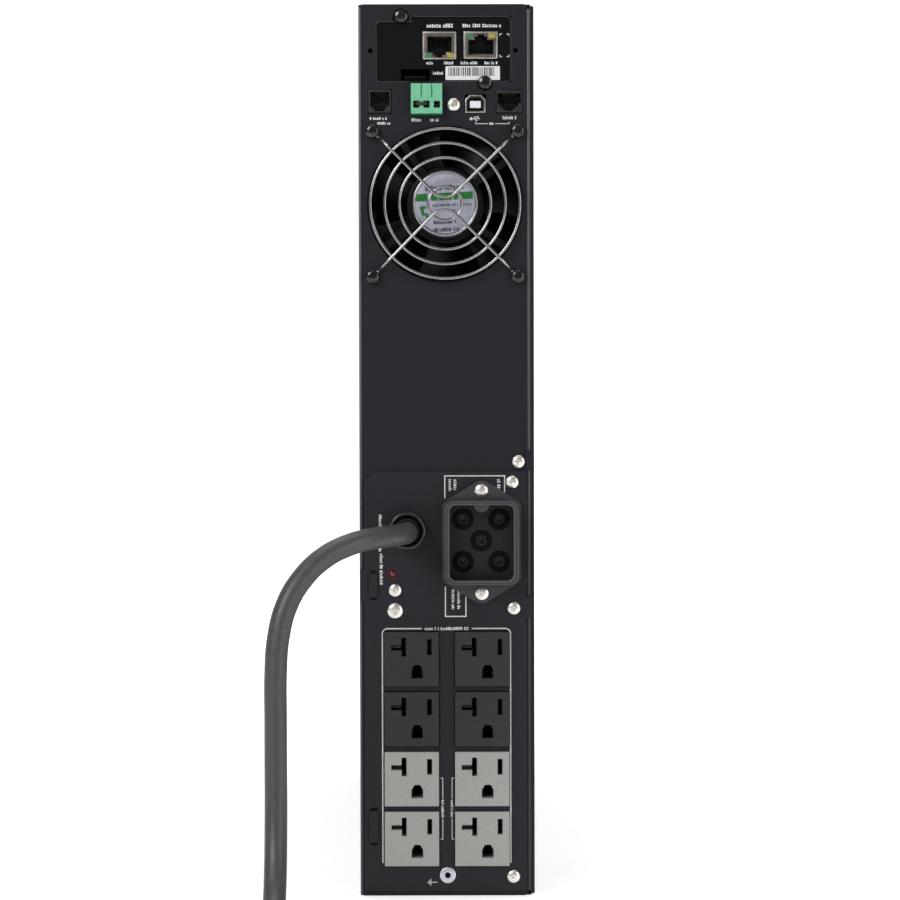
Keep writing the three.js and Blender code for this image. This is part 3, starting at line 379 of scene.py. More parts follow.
def lathe_mesh(profile, segments=32, smooth=35, centre=(0, 0)):
    """A round piece about a line along Y.

    The profile is (radius, y) pairs, and a closed ring if it starts off the axis.
    """
    bm = bmesh.new()
    rings = []
    for radius, y in profile:
        if radius < 1e-6:
            rings.append([bm.verts.new((centre[0], y, centre[1]))])
            continue
        angles = [2 * math.pi * i / segments for i in range(segments)]
        rings.append([
            bm.verts.new((centre[0] + radius * math.cos(a), y, centre[1] + radius * math.sin(a)))
            for a in angles
        ])
    closed = profile[0][0] > 1e-6
    pairs = list(zip(rings, rings[1:])) + ([(rings[-1], rings[0])] if closed else [])
    for near, far in pairs:
        for i in range(segments):
            j = (i + 1) % segments
            if len(near) == 1:
                bm.faces.new((near[0], far[i], far[j]))
            elif len(far) == 1:
                bm.faces.new((near[i], near[j], far[0]))
            else:
                bm.faces.new((near[i], near[j], far[j], far[i]))
    return mesh_of(bm, smooth=smooth)


def arc(x, z, radius, first, last, steps=8):
    """Points on an arc in X and Z, with its ends, in degrees."""
    angles = [math.radians(first + (last - first) * i / steps) for i in range(steps + 1)]
    return [(x + radius * math.cos(a), z + radius * math.sin(a)) for a in angles]


def rounded(x0, z0, x1, z1, radius, steps=6):
    """A rectangle with round corners, in X and Z."""
    return (
        arc(x1 - radius, z0 + radius, radius, -90, 0, steps)
        + arc(x1 - radius, z1 - radius, radius, 0, 90, steps)
        + arc(x0 + radius, z1 - radius, radius, 90, 180, steps)
        + arc(x0 + radius, z0 + radius, radius, 180, 270, steps)
    )


def ring(x, z, radius, steps=40):
    return arc(x, z, radius, 0, 360 - 360 / steps, steps - 1)


def plate_mesh(loops, y0, y1, rounding=0.0, steps=2):
    """A plate between two Y planes with rounded edges, from its outline and then its holes."""
    curve = bpy.data.curves.new("outline", "CURVE")
    curve.dimensions = "2D"
    curve.fill_mode = "BOTH"
    curve.extrude = ((y1 - y0) / 2 - rounding) * MM
    curve.bevel_depth = rounding * MM
    curve.bevel_resolution = steps - 1
    curve.offset = -rounding * MM
    for loop in loops:
        spline = curve.splines.new("POLY")
        spline.points.add(len(loop) - 1)
        for point, (x, z) in zip(spline.points, loop):
            point.co = (x * MM, z * MM, 0, 1)
        spline.use_cyclic_u = True
    holder = bpy.data.objects.new("outline", curve)
    scene.collection.objects.link(holder)
    mesh = evaluated(holder)
    bpy.data.objects.remove(holder)
    bpy.data.curves.remove(curve)
    mesh.transform(moved(y=(y0 + y1) / 2) @ Matrix.Rotation(math.pi / 2, 4, "X"))
    bm = bmesh.new()
    bm.from_mesh(mesh)
    bmesh.ops.remove_doubles(bm, verts=bm.verts, dist=1e-6)
    bmesh.ops.recalc_face_normals(bm, faces=bm.faces)
    bm.to_mesh(mesh)
    bm.free()
    return smooth_shaded(mesh, 35)


def stroke_mesh(points, width, y0, y1):
    """A flat line of that width along points in X and Z, mitred at its corners."""
    bm = bmesh.new()
    rows = []
    line = [Vector(p) for p in points]
    for i, point in enumerate(line):
        before = (point - line[i - 1]).normalized() if i else None
        after = (line[i + 1] - point).normalized() if i + 1 < len(line) else None
        along = ((before or after) + (after or before)).normalized()
        reach = width / 2
        if before and after:
            reach /= max(0.5, along.dot(before))
        side = Vector((-along.y, along.x)) * reach
        corners = [(point + side, y0), (point - side, y0), (point - side, y1), (point + side, y1)]
        rows.append([bm.verts.new((c.x, y, c.y)) for c, y in corners])
    for near, far in zip(rows, rows[1:]):
        for k in range(4):
            bm.faces.new((near[k], near[(k + 1) % 4], far[(k + 1) % 4], far[k]))
    bm.faces.new(rows[0])
    bm.faces.new(rows[-1][::-1])
    return mesh_of(bm)


def carved(mesh, *cutters):
    """The mesh with the cutters taken out of it."""
    holder = bpy.data.objects.new("carved", mesh)
    tool = bpy.data.objects.new("cutter", gather(cutters))
    scene.collection.objects.link(holder)
    scene.collection.objects.link(tool)
    boolean = holder.modifiers.new("cut", "BOOLEAN")
    boolean.operation = "DIFFERENCE"
    boolean.solver = "EXACT"
    boolean.use_self = True
    boolean.object = tool
    made = evaluated(holder)
    bpy.data.objects.remove(holder)
    bpy.data.objects.remove(tool)
    return smooth_shaded(made, 32)


def filleted(points, radius, steps=5):
    """A path in space with each inner corner replaced by a curve that starts radius away from it."""
    line = [Vector(p) for p in points]
    made = [line[0]]
    for before, corner, after in zip(line, line[1:], line[2:]):
        near = min(radius, (before - corner).length * 0.48, (after - corner).length * 0.48)
        start = corner + (before - corner).normalized() * near
        end = corner + (after - corner).normalized() * near
        for i in range(steps + 1):
            t = i / steps
            made.append(start * (1 - t) ** 2 + corner * 2 * t * (1 - t) + end * t**2)
    return made + [line[-1]]


def softened(loop, radius):
    """A closed outline in X and Z whose corners become curves that start radius away from them."""
    made = []
    for i, corner in enumerate(loop):
        path = [(*loop[i - 1], 0), (*corner, 0), (*loop[(i + 1) % len(loop)], 0)]
        made += [(p.x, p.y) for p in filleted(path, radius)[1:-1]]
    return made


def wire_curve(name, paths, radius):
    """A curve of round wires. Each path is (points in millimetres, closed)."""
    curve = bpy.data.curves.new(name, "CURVE")
    curve.dimensions = "3D"
    curve.bevel_depth = radius * MM
    curve.bevel_resolution = 5
    curve.use_fill_caps = True
    for points, closed in paths:
        spline = curve.splines.new("POLY")
        spline.points.add(len(points) - 1)
        for point, co in zip(spline.points, points):
            point.co = (*(Vector(co) * MM), 1)
        spline.use_cyclic_u = closed
        spline.use_smooth = True
    return curve


# ---------------------------------------------------------------- supply cord
CORD_RADIUS = 5.25
CORD_ROUTE = [
    (-19.6, -224, 181.2),
    (-19.6, -235, 181.2),
    (-19.6, -247, 181.2),
    (-21.2, -259.5, 181.2),
    (-26.4, -272, 181),
    (-34.6, -282.4, 180.4),
    (-45.6, -290.6, 178),
    (-57, -296.6, 172.4),
    (-66.8, -301.6, 163.2),
    (-74, -305.4, 151),
    (-77.8, -307.8, 136),
    (-79, -309, 119),
    (-79, -309.6, 100),
    (-79, -310, 80),
    (-78.9, -311, 62),
    (-78.8, -314.4, 45),
    (-78.6, -321.6, 29.6),
    (-78.5, -332.6, 17),
    (-78.4, -346.6, 9),
    (-78.3, -363, 5.8),
    (-78.2, -383, 5.6),
    (-78, -425, 5.6),
    (-78, -470, 5.6),
    (-78, -516, 5.6),
]
COIL_X = -22
COIL_NEAR_Y = -516
COIL_FAR_Y = -604
INNER_TURN = 45
OUTER_TURN = 56
TURN_STEP = 10.55
UP_TURNS = 3
DOWN_TURNS = 2
PLUG_X = -78
PLUG_Z = 13.7
BOOT_Y = -604


def coil_place(turn, offset, z):
    """A point on the coil at a share of one turn, which starts at the near end of the left straight."""
    straight = COIL_NEAR_Y - COIL_FAR_Y
    fold = math.pi * offset
    run = (turn % 1) * 2 * (straight + fold)
    if run <= straight:
        return (COIL_X - offset, COIL_NEAR_Y - run, z)
    run -= straight
    if run <= fold:
        angle = math.pi + run / offset
        return (COIL_X + offset * math.cos(angle), COIL_FAR_Y + offset * math.sin(angle), z)
    run -= fold
    if run <= straight:
        return (COIL_X + offset, COIL_FAR_Y + run, z)
    angle = (run - straight) / offset
    return (COIL_X + offset * math.cos(angle), COIL_NEAR_Y + offset * math.sin(angle), z)


def straight_share(offset):
    straight = COIL_NEAR_Y - COIL_FAR_Y
    return straight / (2 * (straight + math.pi * offset))


def smooth_step(t):
    t = min(1.0, max(0.0, t))
    return t * t * (3 - 2 * t)


def coil_points(floor_z):
    """Three turns up on the inner column, and two and a bit down on the outer one, ending at the plug."""
    points = []
    per_turn = 28
    shift = straight_share(OUTER_TURN)
    for i in range(1, UP_TURNS * per_turn + 1):
        turn = i / per_turn
        inward = smooth_step(turn / shift)
        offset = OUTER_TURN + (INNER_TURN - OUTER_TURN) * inward
        points.append(coil_place(turn, offset, floor_z + TURN_STEP * turn))
    top = floor_z + TURN_STEP * UP_TURNS
    total = DOWN_TURNS + shift
    steps = round(total * per_turn)
    for i in range(1, steps + 1):
        turn = total * i / steps
        outward = smooth_step(turn / shift)
        offset = INNER_TURN + (OUTER_TURN - INNER_TURN) * outward
        drop = TURN_STEP * max(0.0, turn - shift)
        points.append(coil_place(turn, offset, top - drop))
    return points


def make_cord():
    points = CORD_ROUTE + coil_points(CORD_ROUTE[-1][2])
    curve = bpy.data.curves.new("cord", "CURVE")
    curve.dimensions = "3D"
    curve.bevel_depth = CORD_RADIUS * MM
    curve.bevel_resolution = 6
    curve.resolution_u = 5
    curve.use_fill_caps = True
    spline = curve.splines.new("BEZIER")
    spline.bezier_points.add(len(points) - 1)
    for point, co in zip(spline.bezier_points, points):
        point.co = Vector(co) * MM
        point.handle_left_type = "AUTO"
        point.handle_right_type = "AUTO"
    return placed("supply_cord", curve, "cord_rubber", "chassis", ["power_cord", "cord_coil"])


cord = make_cord()


# ---------------------------------------------------------------- gland, coil tie and plug
GLAND_X = -19.6
GLAND_Z = 181.2
SLEEVE_RIBS = 4
SLEEVE_PITCH = 2.6
PLUG_RIBS = 7
PLUG_RIB_PITCH = 4.9


def make_gland():
    """A rounded hexagonal nut with an open mouth, a dark ring of painted shade inside it, and a ribbed sleeve
    that tapers to the cord.
    """
    corner = 9.0 / math.cos(math.pi / 6)
    front = span("cord_gland")[0].y
    face = PLATE_Y - 9.5
    hexagon = [
        (GLAND_X + corner * math.cos(math.radians(60 * i)), GLAND_Z + corner * math.sin(math.radians(60 * i)))
        for i in range(6)
    ]
    nut = plate_mesh([softened(hexagon, 4.2), ring(GLAND_X, GLAND_Z, 7.3)], face, PLATE_Y - 0.05, 1.0, 4)
    middle = (GLAND_X, GLAND_Z)
    # A near-black ring in the nut's mouth: painted shade for the gap round the cord.
    mouth_shade_profile = [(5.6, face + 3.4), (7.8, face + 3.4), (7.8, face + 5), (5.6, face + 5)]
    seat = lathe_mesh(mouth_shade_profile, 40, 40, middle)
    profile = [(5.6, face + 3.8), (6.3, face + 3.8), (6.3, face - 0.5)]
    for i in range(SLEEVE_RIBS):
        start = face - 1 - i * SLEEVE_PITCH
        radius = 6.35 - 0.12 * i
        profile += [(radius - 0.3, start), (radius, start - 0.35)]
        profile += [(radius, start - 1.7), (radius - 0.3, start - 2.05)]
    profile += [(5.95, front + 0.5), (5.8, front), (5.45, front + 0.15), (5.4, front + 2)]
    sleeve = lathe_mesh(profile, 40, 50, middle)
    parts = gather([(nut, HERE, 0), (seat, HERE, 1), (sleeve, HERE, 2)])
    looks_used = ["gland_plastic", "painted_shade_black", "jack_black"]
    return placed("gland_grip", parts, looks_used, "chassis", ["cord_gland"])


def make_tie():
    """A hook-and-loop strap round one side of the coil. Its underside is pressed thin by the cord."""
    left = COIL_X + INNER_TURN - CORD_RADIUS
    right = COIL_X + OUTER_TURN + CORD_RADIUS
    top = CORD_ROUTE[-1][2] + TURN_STEP * UP_TURNS + CORD_RADIUS
    outside = rounded(left - 1.5, 0.02, right + 1.5, top + 1.5, 6, 8)
    inside = rounded(left - 0.2, 0.32, right + 0.2, top + 0.2, 5, 8)
    middle = (COIL_NEAR_Y + COIL_FAR_Y) / 2
    edges = (middle - 9, middle + 9)
    band = plate_mesh([outside, inside], *edges, 0.12)
    tail = plate_mesh([rounded(right + 1.4, top - 26, right + 2.8, top - 4, 0.5)], *edges, 0.3)
    return placed("coil_tie", gather([band, tail]), "tie", "chassis")


def make_plug():
    """A moulded straight plug on its side of the floor: ribbed boot, waisted grip, two blades and a pin."""
    face = span("power_plug")[0].y + 20
    grip = BOOT_Y - 38
    profile = [(0, face), (11.6, face), (12.8, face + 0.8), (13.3, face + 2.4), (13.3, face + 13)]
    profile += [(12.2, face + 15), (11.6, face + 19), (11.9, face + 24), (12.6, face + 29), (12.2, grip - 6)]
    profile += [(9.6, grip - 1.5), (8.2, grip)]
    for i in range(PLUG_RIBS):
        start = grip + 0.8 + i * PLUG_RIB_PITCH
        radius = 8.0 - 0.22 * i
        profile += [(radius, start), (radius, start + 2.4)]
        profile += [(radius - 1.3, start + 3.0), (radius - 1.3, start + 4.3)]
    profile += [(6.2, BOOT_Y - 0.5), (5.4, BOOT_Y), (0, BOOT_Y)]
    body = lathe_mesh(profile, 48, 40, (PLUG_X, PLUG_Z))
    blades = [
        box_mesh((PLUG_X - 7.1, PLUG_X - 5.6), (face - 17, face + 1), (PLUG_Z - 0.2, PLUG_Z + 6.1), 0.45),
        box_mesh((PLUG_X + 3.2, PLUG_X + 9.5), (face - 17, face + 1), (PLUG_Z + 2.2, PLUG_Z + 3.7), 0.45),
    ]
    pin = [(0, face - 20), (1.2, face - 19.6), (2.1, face - 18.4), (2.4, face - 16.4)]
    pin += [(2.4, face + 1), (0, face + 1)]
    blades.append(lathe_mesh(pin, 24, 40, (PLUG_X, PLUG_Z - 8)))
    mesh = gather([body] + [(blade, HERE, 1) for blade in blades])
    return placed("plug_body", mesh, ["black_plastic", "brass"], "chassis", ["power_plug"])


gland = make_gland()
tie = make_tie()
plug = make_plug()

# ---------------------------------------------------------------- carried-over CAD nodes
LOOK_OF = {
    "black_steel": ["chassis_shell", "top_cover", "rear_panel", "front_frame"],
    "plate_steel": ["outlet_panel"],
    "fan_plastic": ["fan_frame"],
    "connector_plastic": ["battery_connector"],
    "black_plastic": ["battery_cover", "front_bezel", "display_housing"],
    "terminal_green": ["terminal_header", "terminal_plug"],
    "circuit_board": ["power_board", "card_board"],
    "sink_aluminium": ["heat_sink"],
    "transformer_core": ["transformer"],
    "card_steel": ["card_plate"],
    "tray_steel": ["battery_tray"],
    "battery_case": ["battery_pair_1", "battery_pair_2"],
    "display_lens": ["display_glass"],
    "button_grey": ["menu_button_1", "menu_button_2", "menu_button_3", "menu_button_4", "power_button"],
    "outlet_black": ["outlet_1", "outlet_2", "outlet_3", "outlet_4"],
    "outlet_grey": ["outlet_5", "outlet_6", "outlet_7", "outlet_8"],
}
EDGE_OF = {
    "chassis_shell": 0.5,
    "top_cover": 0.55,
    "rear_panel": 0.45,
    "outlet_panel": 0.35,
    "front_bezel": 0.7,
    "battery_cover": 0.7,
    "display_housing": 0.5,
    "battery_connector": 0.45,
    "battery_pair_1": 1.2,
    "battery_pair_2": 1.2,
    **{f"outlet_{i}": 0.35 for i in range(1, 9)},
}


def smooth_group(name, merge, limit):
    """Geometry nodes that merge split corners and drop normals, or that smooth edges under the limit."""
    group = bpy.data.node_groups.new(name, "GeometryNodeTree")
    group.interface.new_socket("Geometry", in_out="INPUT", socket_type="NodeSocketGeometry")
    group.interface.new_socket("Geometry", in_out="OUTPUT", socket_type="NodeSocketGeometry")
    add, link = group.nodes.new, group.links.new
    flow = add("NodeGroupInput").outputs[0]
    if merge:
        weld = add("GeometryNodeMergeByDistance")
        weld.inputs["Distance"].default_value = 1e-6
        link(flow, weld.inputs[0])
        drop = add("GeometryNodeRemoveAttribute")
        drop.inputs["Name"].default_value = "custom_normal"
        link(weld.outputs[0], drop.inputs[0])
        flow = drop.outputs[0]
    faces = add("GeometryNodeSetShadeSmooth")
    faces.domain = "FACE"
    faces.inputs["Shade Smooth"].default_value = not merge
    link(flow, faces.inputs[0])
    flow = faces.outputs[0]
    if not merge:
        angle = add("GeometryNodeInputMeshEdgeAngle")
        small = add("FunctionNodeCompare")
        small.data_type = "FLOAT"
        small.operation = "LESS_THAN"
        small.inputs["B"].default_value = math.radians(limit)
        link(angle.outputs["Unsigned Angle"], small.inputs["A"])
        edges = add("GeometryNodeSetShadeSmooth")
        edges.domain = "EDGE"
        link(flow, edges.inputs[0])
        link(small.outputs["Result"], edges.inputs["Shade Smooth"])
        flow = edges.outputs[0]
    link(flow, add("NodeGroupOutput").inputs[0])
    return group


def refine(node, edge, clean, soften):
    """Rounds a CAD node's sharp edges and shades it smoothly, by modifiers only."""
    modifiers = nodes[node].modifiers
    modifiers.new("clean", "NODES").node_group = clean
    flat = modifiers.new("planes", "DECIMATE")
    flat.decimate_type = "DISSOLVE"
    flat.angle_limit = math.radians(1)
    bevel = modifiers.new("edges", "BEVEL")
    bevel.width = edge * MM
    bevel.segments = 2
    bevel.limit_method = "ANGLE"
    bevel.angle_limit = math.radians(40)
    bevel.use_clamp_overlap = True
    modifiers.new("soften", "NODES").node_group = soften
    weighted = modifiers.new("weighted", "WEIGHTED_NORMAL")
    weighted.keep_sharp = True


def dress_nodes():
    clean = smooth_group("clean", True, 0)
    soften = smooth_group("soften", False, 36)
    for look, members in LOOK_OF.items():
        for name in members:
            mesh = nodes[name].data
            mesh.materials.clear()
            mesh.materials.append(looks[look])
            refine(name, EDGE_OF.get(name, 0.2), clean, soften)


dress_nodes()

# ---------------------------------------------------------------- screws
FAN_X = -0.5
FAN_Z = 341.8
FAN_PITCH = 71.5
CARD_SCREWS = [(-22.1, 434), (19.2, 401.4)]
ON_PLATE_Y = -221.5  # a panel screw that starts behind this is on the outlet panel
LARGE_SCREW = 4  # its place among the panel screws


def cross_recess(y, size, depth):
    """Two tapered slots that cross, to be taken out of a screw head whose top is at y."""
    cutters = []
    for turn in (0, 90):
        blade = box_mesh((-size, size), (y - 1, y + depth), (-size * 0.22, size * 0.22))
        for vertex in blade.vertices:
            if vertex.co.y > y * MM:
                vertex.co.x *= 0.5
        cutters.append((blade, Matrix.Rotation(math.radians(turn), 4, "Y"), 0))
    middle = lathe_mesh([(0, y - 1), (size * 0.5, y - 1), (size * 0.42, y + depth), (0, y + depth)], 12)
    return cutters + [(middle, HERE, 0)]


def screw_mesh(head, rise):
    """A pan head with a crossed recess. Its seat is at y = 0."""
    profile = [(0, -rise), (head * 0.35, -rise + 0.04), (head * 0.68, -rise + 0.22)]
    profile += [(head * 0.88, -rise + 0.62), (head * 0.98, -rise * 0.5), (head, -rise * 0.32)]
    profile += [(head, 0), (head * 0.9, 0), (1.4, 0), (1.4, 5), (0, 5)]
    head_mesh = lathe_mesh(profile, 40, 40)
    return carved(head_mesh, *cross_recess(-rise, head * 0.42, rise * 0.62))


def copies(mesh, places, prefix, look, body, slot, nodes_replaced):
    """The same screw at each place, turned at random, each standing for a CAD node or for none."""
    for i, ((x, y, z), node) in enumerate(zip(places, nodes_replaced)):
        copy = mesh.copy()
        copy.transform(Matrix.Rotation(math.radians(draw.uniform(0, 90)), 4, "Y"))
        copy.transform(moved(x, y, z))
        placed(f"{prefix}_{i + 1}", copy, look, body, [node] if node else ())


def centre_of(node):
    low, high = span(node)
    return (low + high) / 2


def make_screws():
    panel = [f"panel_screw_{i}" for i in range(1, 8)]
    seats = [PLATE_Y if span(n)[0].y < ON_PLATE_Y else WALL_Y for n in panel]
    places = [(centre_of(n).x, seat, centre_of(n).z) for n, seat in zip(panel, seats)]
    large = [panel.pop(LARGE_SCREW)]
    large_place = [places.pop(LARGE_SCREW)]
    nickel = ("screw_nickel", "chassis", "screw_nickel")
    copies(screw_mesh(3.35, 2.1), places, "panel_screw_head", *nickel, panel)
    copies(screw_mesh(4, 2.1), large_place, "large_screw_head", *nickel, large)
    fan = [f"fan_screw_{i}" for i in range(1, 5)]
    places = [(centre_of(n).x, WALL_Y - 1.8, centre_of(n).z) for n in fan]
    copies(screw_mesh(3.5, 2.4), places, "fan_screw_head", "screw_black", "chassis", "screw_black", fan)
    card = ["card_screw_1", "card_screw_2"]
    places = [(x, CARD_Y, z) for x, z in CARD_SCREWS]
    on_card = ("screw_black", "network_card", "screw_black")
    copies(screw_mesh(3.5, 2.6), places, "card_screw_head", *on_card, card)
    flange = [(17.0, PLATE_Y - 3, 200.7), (17.2, PLATE_Y - 3, 150.2)]
    copies(screw_mesh(3.3, 1.7), flange, "flange_screw", *nickel, [None, None])


make_screws()


# ---------------------------------------------------------------- fan
GUARD_Y = -223.2
GUARD_RADII = (8.3, 15.4, 22.5, 29.7, 36.8)
WIRE = 0.78
FAN_BLADES = 7
LABEL_TILT = -3


def make_guard():
    """Five rings of wire and two bent wires that carry them, each ending in an eye under a screw."""
    paths = []
    for radius in GUARD_RADII:
        paths.append(([(x, GUARD_Y, z) for x, z in ring(FAN_X, FAN_Z, radius, 96)], True))
    far = FAN_PITCH / 2
    front = GUARD_Y - 1.5
    flat = WALL_Y - WIRE + 0.3
    for side in (1, -1):
        bottom = 3.1 if side > 0 else 3.2
        stops = [
            (2.0 - far, flat, side * (far - 2.0)), (3.0 - far, flat, side * (far - 3.0)),
            (6.6 - far, front, side * (far - 6.6)), (-3.7, front, side * bottom),
            (2.9, front, side * bottom), (far - 6.6, front, side * (far - 6.6)),
            (far - 3.0, flat, side * (far - 3.0)), (far - 2.0, flat, side * (far - 2.0)),
        ]
        line = filleted([(FAN_X + x, y, FAN_Z + z) for x, y, z in stops], 3.0, 8)
        paths.append((line, False))
        for across in (-1, 1):
            eye = ring(FAN_X + across * far, FAN_Z + side * far, 2.75, 24)
            paths.append(([(x, flat, z) for x, z in eye], True))
    curve = wire_curve("guard_wires", paths, WIRE)
    placed("guard_wires", curve, "guard_chrome", "chassis", ["fan_guard"])


def blade_mesh(start):
    """One twisted, cambered fan blade as a closed shell."""
    across, along = 9, 7
    y0, y1 = span("fan_rotor")
    low, high = y0.y + 1.2, y1.y - 1.2
    bm = bmesh.new()
    sheets = []
    for face in (0, 1):
        sheet = []
        for i in range(across + 1):
            u = i / across
            radius = 18.6 + 17.6 * u
            sweep = math.radians(start + 9 * u - 12 * u * u)
            width = math.radians(47 - 9 * u)
            row = []
            for k in range(along + 1):
                v = k / along
                angle = sweep + (v - 0.5) * width
                camber = 1.9 * math.sin(math.pi * v)
                thick = 0.35 + 0.65 * math.sin(math.pi * min(1, v * 1.25 + 0.05)) ** 0.7
                y = low + (high - low) * v - camber + (thick if face else -thick)
                row.append(bm.verts.new((radius * math.cos(angle), y, radius * math.sin(angle))))
            sheet.append(row)
        sheets.append(sheet)
    for sheet in sheets:
        for i in range(across):
            for k in range(along):
                bm.faces.new((sheet[i][k], sheet[i + 1][k], sheet[i + 1][k + 1], sheet[i][k + 1]))
    top, bottom = sheets
    rim = [(i, 0) for i in range(across + 1)] + [(across, k) for k in range(1, along + 1)]
    rim += [(i, along) for i in range(across - 1, -1, -1)] + [(0, k) for k in range(along - 1, 0, -1)]
    for (i, k), (j, m) in zip(rim, rim[1:] + rim[:1]):
        bm.faces.new((top[i][k], top[j][m], bottom[j][m], bottom[i][k]))
    return mesh_of(bm, smooth=50)


def make_fan():
    y0, y1 = (corner.y for corner in span("fan_rotor"))
    cup = [(0, y0), (17.6, y0), (18.8, y0 + 0.5), (19.4, y0 + 1.7)]
    cup += [(19.4, y1), (17.8, y1), (17.8, y0 + 3), (0, y0 + 3)]
    parts = [lathe_mesh(cup, 64, 40)] + [blade_mesh(12 + i * 360 / FAN_BLADES) for i in range(FAN_BLADES)]
    rotor = gather(parts)
    rotor.transform(moved(x=FAN_X, z=FAN_Z))
    placed("fan_impeller", rotor, "fan_plastic", "fan_rotor", ["fan_rotor"])
    label_y = span("fan_frame")[0].y + 0.4
    disc = plate_mesh([ring(FAN_X, FAN_Z, 16, 72)], label_y - 0.12, label_y + 0.1, 0.05)
    hub = [(16.2, label_y + 4), (16.2, label_y - 0.5), (16.6, label_y - 0.9)]
    hub += [(17.4, label_y - 0.6), (17.6, label_y + 4)]
    rim = lathe_mesh(hub, 72, 40, (FAN_X, FAN_Z))
    placed("fan_hub_rim", rim, "fan_plastic", "chassis")
    prints = []
    print_y = (label_y - 0.2, label_y - 0.1)

    stripe = ((-14.6, -8.6), (-6.8, -3.6), (-3.0, 3.6), (4.2, 6.6), (7.4, 13.8))
    bars = [(x0, x1, 2.1, 5.7) for x0, x1 in stripe]
    bars += [(-12.6, -9.6, -1.6, -0.4), (-12.2, -10.6, -3.8, -1.6)]
    bars += [(-11.6, -8.6, -5.0, -3.8), (-9.9, -8.0, -6.2, -5.0)]
    for x0, x1, z0, z1 in bars:
        prints.append((box_mesh((FAN_X + x0, FAN_X + x1), print_y, (FAN_Z + z0, FAN_Z + z1)), HERE, 1))
    for z, reach, tall in ((8.3, 9.4, 2.4), (-0.3, 6.4, 1.2), (-3.0, 5.6, 0.9), (-8.6, 6.2, 1.9)):
        words(prints, FAN_X - reach, FAN_X + reach, FAN_Z + z, tall, print_y, 2)
    words(prints, FAN_X - 6.6, FAN_X + 6.6, FAN_Z - 12.4, 1.8, print_y, 2)
    words(prints, FAN_X + 8.4, FAN_X + 13, FAN_Z - 0.6, 1.0, print_y, 2)
    border = [(15.2, print_y[0]), (15.55, print_y[0]), (15.55, print_y[1]), (15.2, print_y[1])]
    prints.append((lathe_mesh(border, 72, 30, (FAN_X, FAN_Z)), HERE, 3))
    label = gather([(disc, HERE, 0)] + prints)
    tilt = Matrix.Rotation(math.radians(LABEL_TILT), 4, "Y")
    label.transform(moved(FAN_X, 0, FAN_Z) @ tilt @ moved(-FAN_X, 0, -FAN_Z))
    label_looks = ["label_lilac", "label_green", "label_ink", "label_paper"]
    placed("fan_label", label, label_looks, "chassis")


# ---------------------------------------------------------------- print
INK = 0.06


def words(meshes, x0, x1, z, height, y, index=0, upright=False):
    """A row of small blocks in place of lettering, between x0 and x1 and centred on z."""
    at = x0
    while at < x1 - height * 0.25:
        wide = min(height * draw.uniform(0.34, 0.62), x1 - at)
        tall = height * draw.choice((1, 1, 0.72, 0.72, 0.86))
        low = z - height / 2
        spans = ((at, at + wide), (low, low + tall))
        if draw.random() < 0.45:
            gap = tall * 0.22
            middle = low + tall * draw.uniform(0.4, 0.6)
            pieces = [(low, middle - gap / 2), (middle + gap / 2, low + tall)]
        else:
            pieces = [spans[1]]
        for piece in pieces:
            meshes.append((block_or_turned(spans[0], piece, y, (x0, z), upright), HERE, index))
        at += wide + height * (0.16 if draw.random() < 0.84 else 0.6)


def block_or_turned(x, z, y, pivot, upright):
    """A block of print, or the same turned a quarter clockwise about a pivot so that its row runs down."""
    if not upright:
        return box_mesh(x, y, z)
    px, pz = pivot
    turned_x = (px + (z[0] - pz), px + (z[1] - pz))
    turned_z = (pz - (x[1] - px), pz - (x[0] - px))
    return box_mesh(turned_x, y, turned_z)


def rows_of_words(meshes, rows, y, upright=False):
    for x0, x1, z, height in rows:
        words(meshes, x0, x1, z, height, y, upright=upright)


def lines(meshes, paths, width, y):
    for path in paths:
        meshes.append((stroke_mesh(path, width, *y), HERE, 0))


def make_wall_print():
    """White print on the upper rear wall."""
    y = (WALL_Y - INK, WALL_Y + 0.02)
    meshes = []
    rows = [(-37.5, -28.4, 384.0, 1.35), (-33.8, -27.0, 381.6, 1.3), (-16.9, -12.2, 383.2, 1.5)]
    rows += [(-7.8, -2.6, 383.2, 1.5), (27.8, 34.6, 384.2, 1.5), (21.4, 23.6, 381.3, 1.1)]
    rows_of_words(meshes, rows, y)
    left = [(14.6, 382.2), (14.6, 381.3), (20.7, 381.3)]
    right = [(24.3, 381.3), (31.1, 381.3), (31.1, 382.2)]
    lines(meshes, [left, right], 0.32, y)
    stem = [(12.3, 383.7), (16.7, 383.7)]
    upper = [(13.4, 383.7), (14.3, 384.6), (15.6, 384.6)]
    lower = [(14.0, 383.7), (14.8, 382.9), (15.6, 382.9)]
    lines(meshes, [stem, upper, lower], 0.34, y)
    for dot in (ring(12.4, 383.7, 0.75, 20), ring(15.7, 384.6, 0.42, 16)):
        meshes.append((plate_mesh([dot], *y), HERE, 0))
    placed("wall_print", gather(meshes), "white_ink", "chassis")


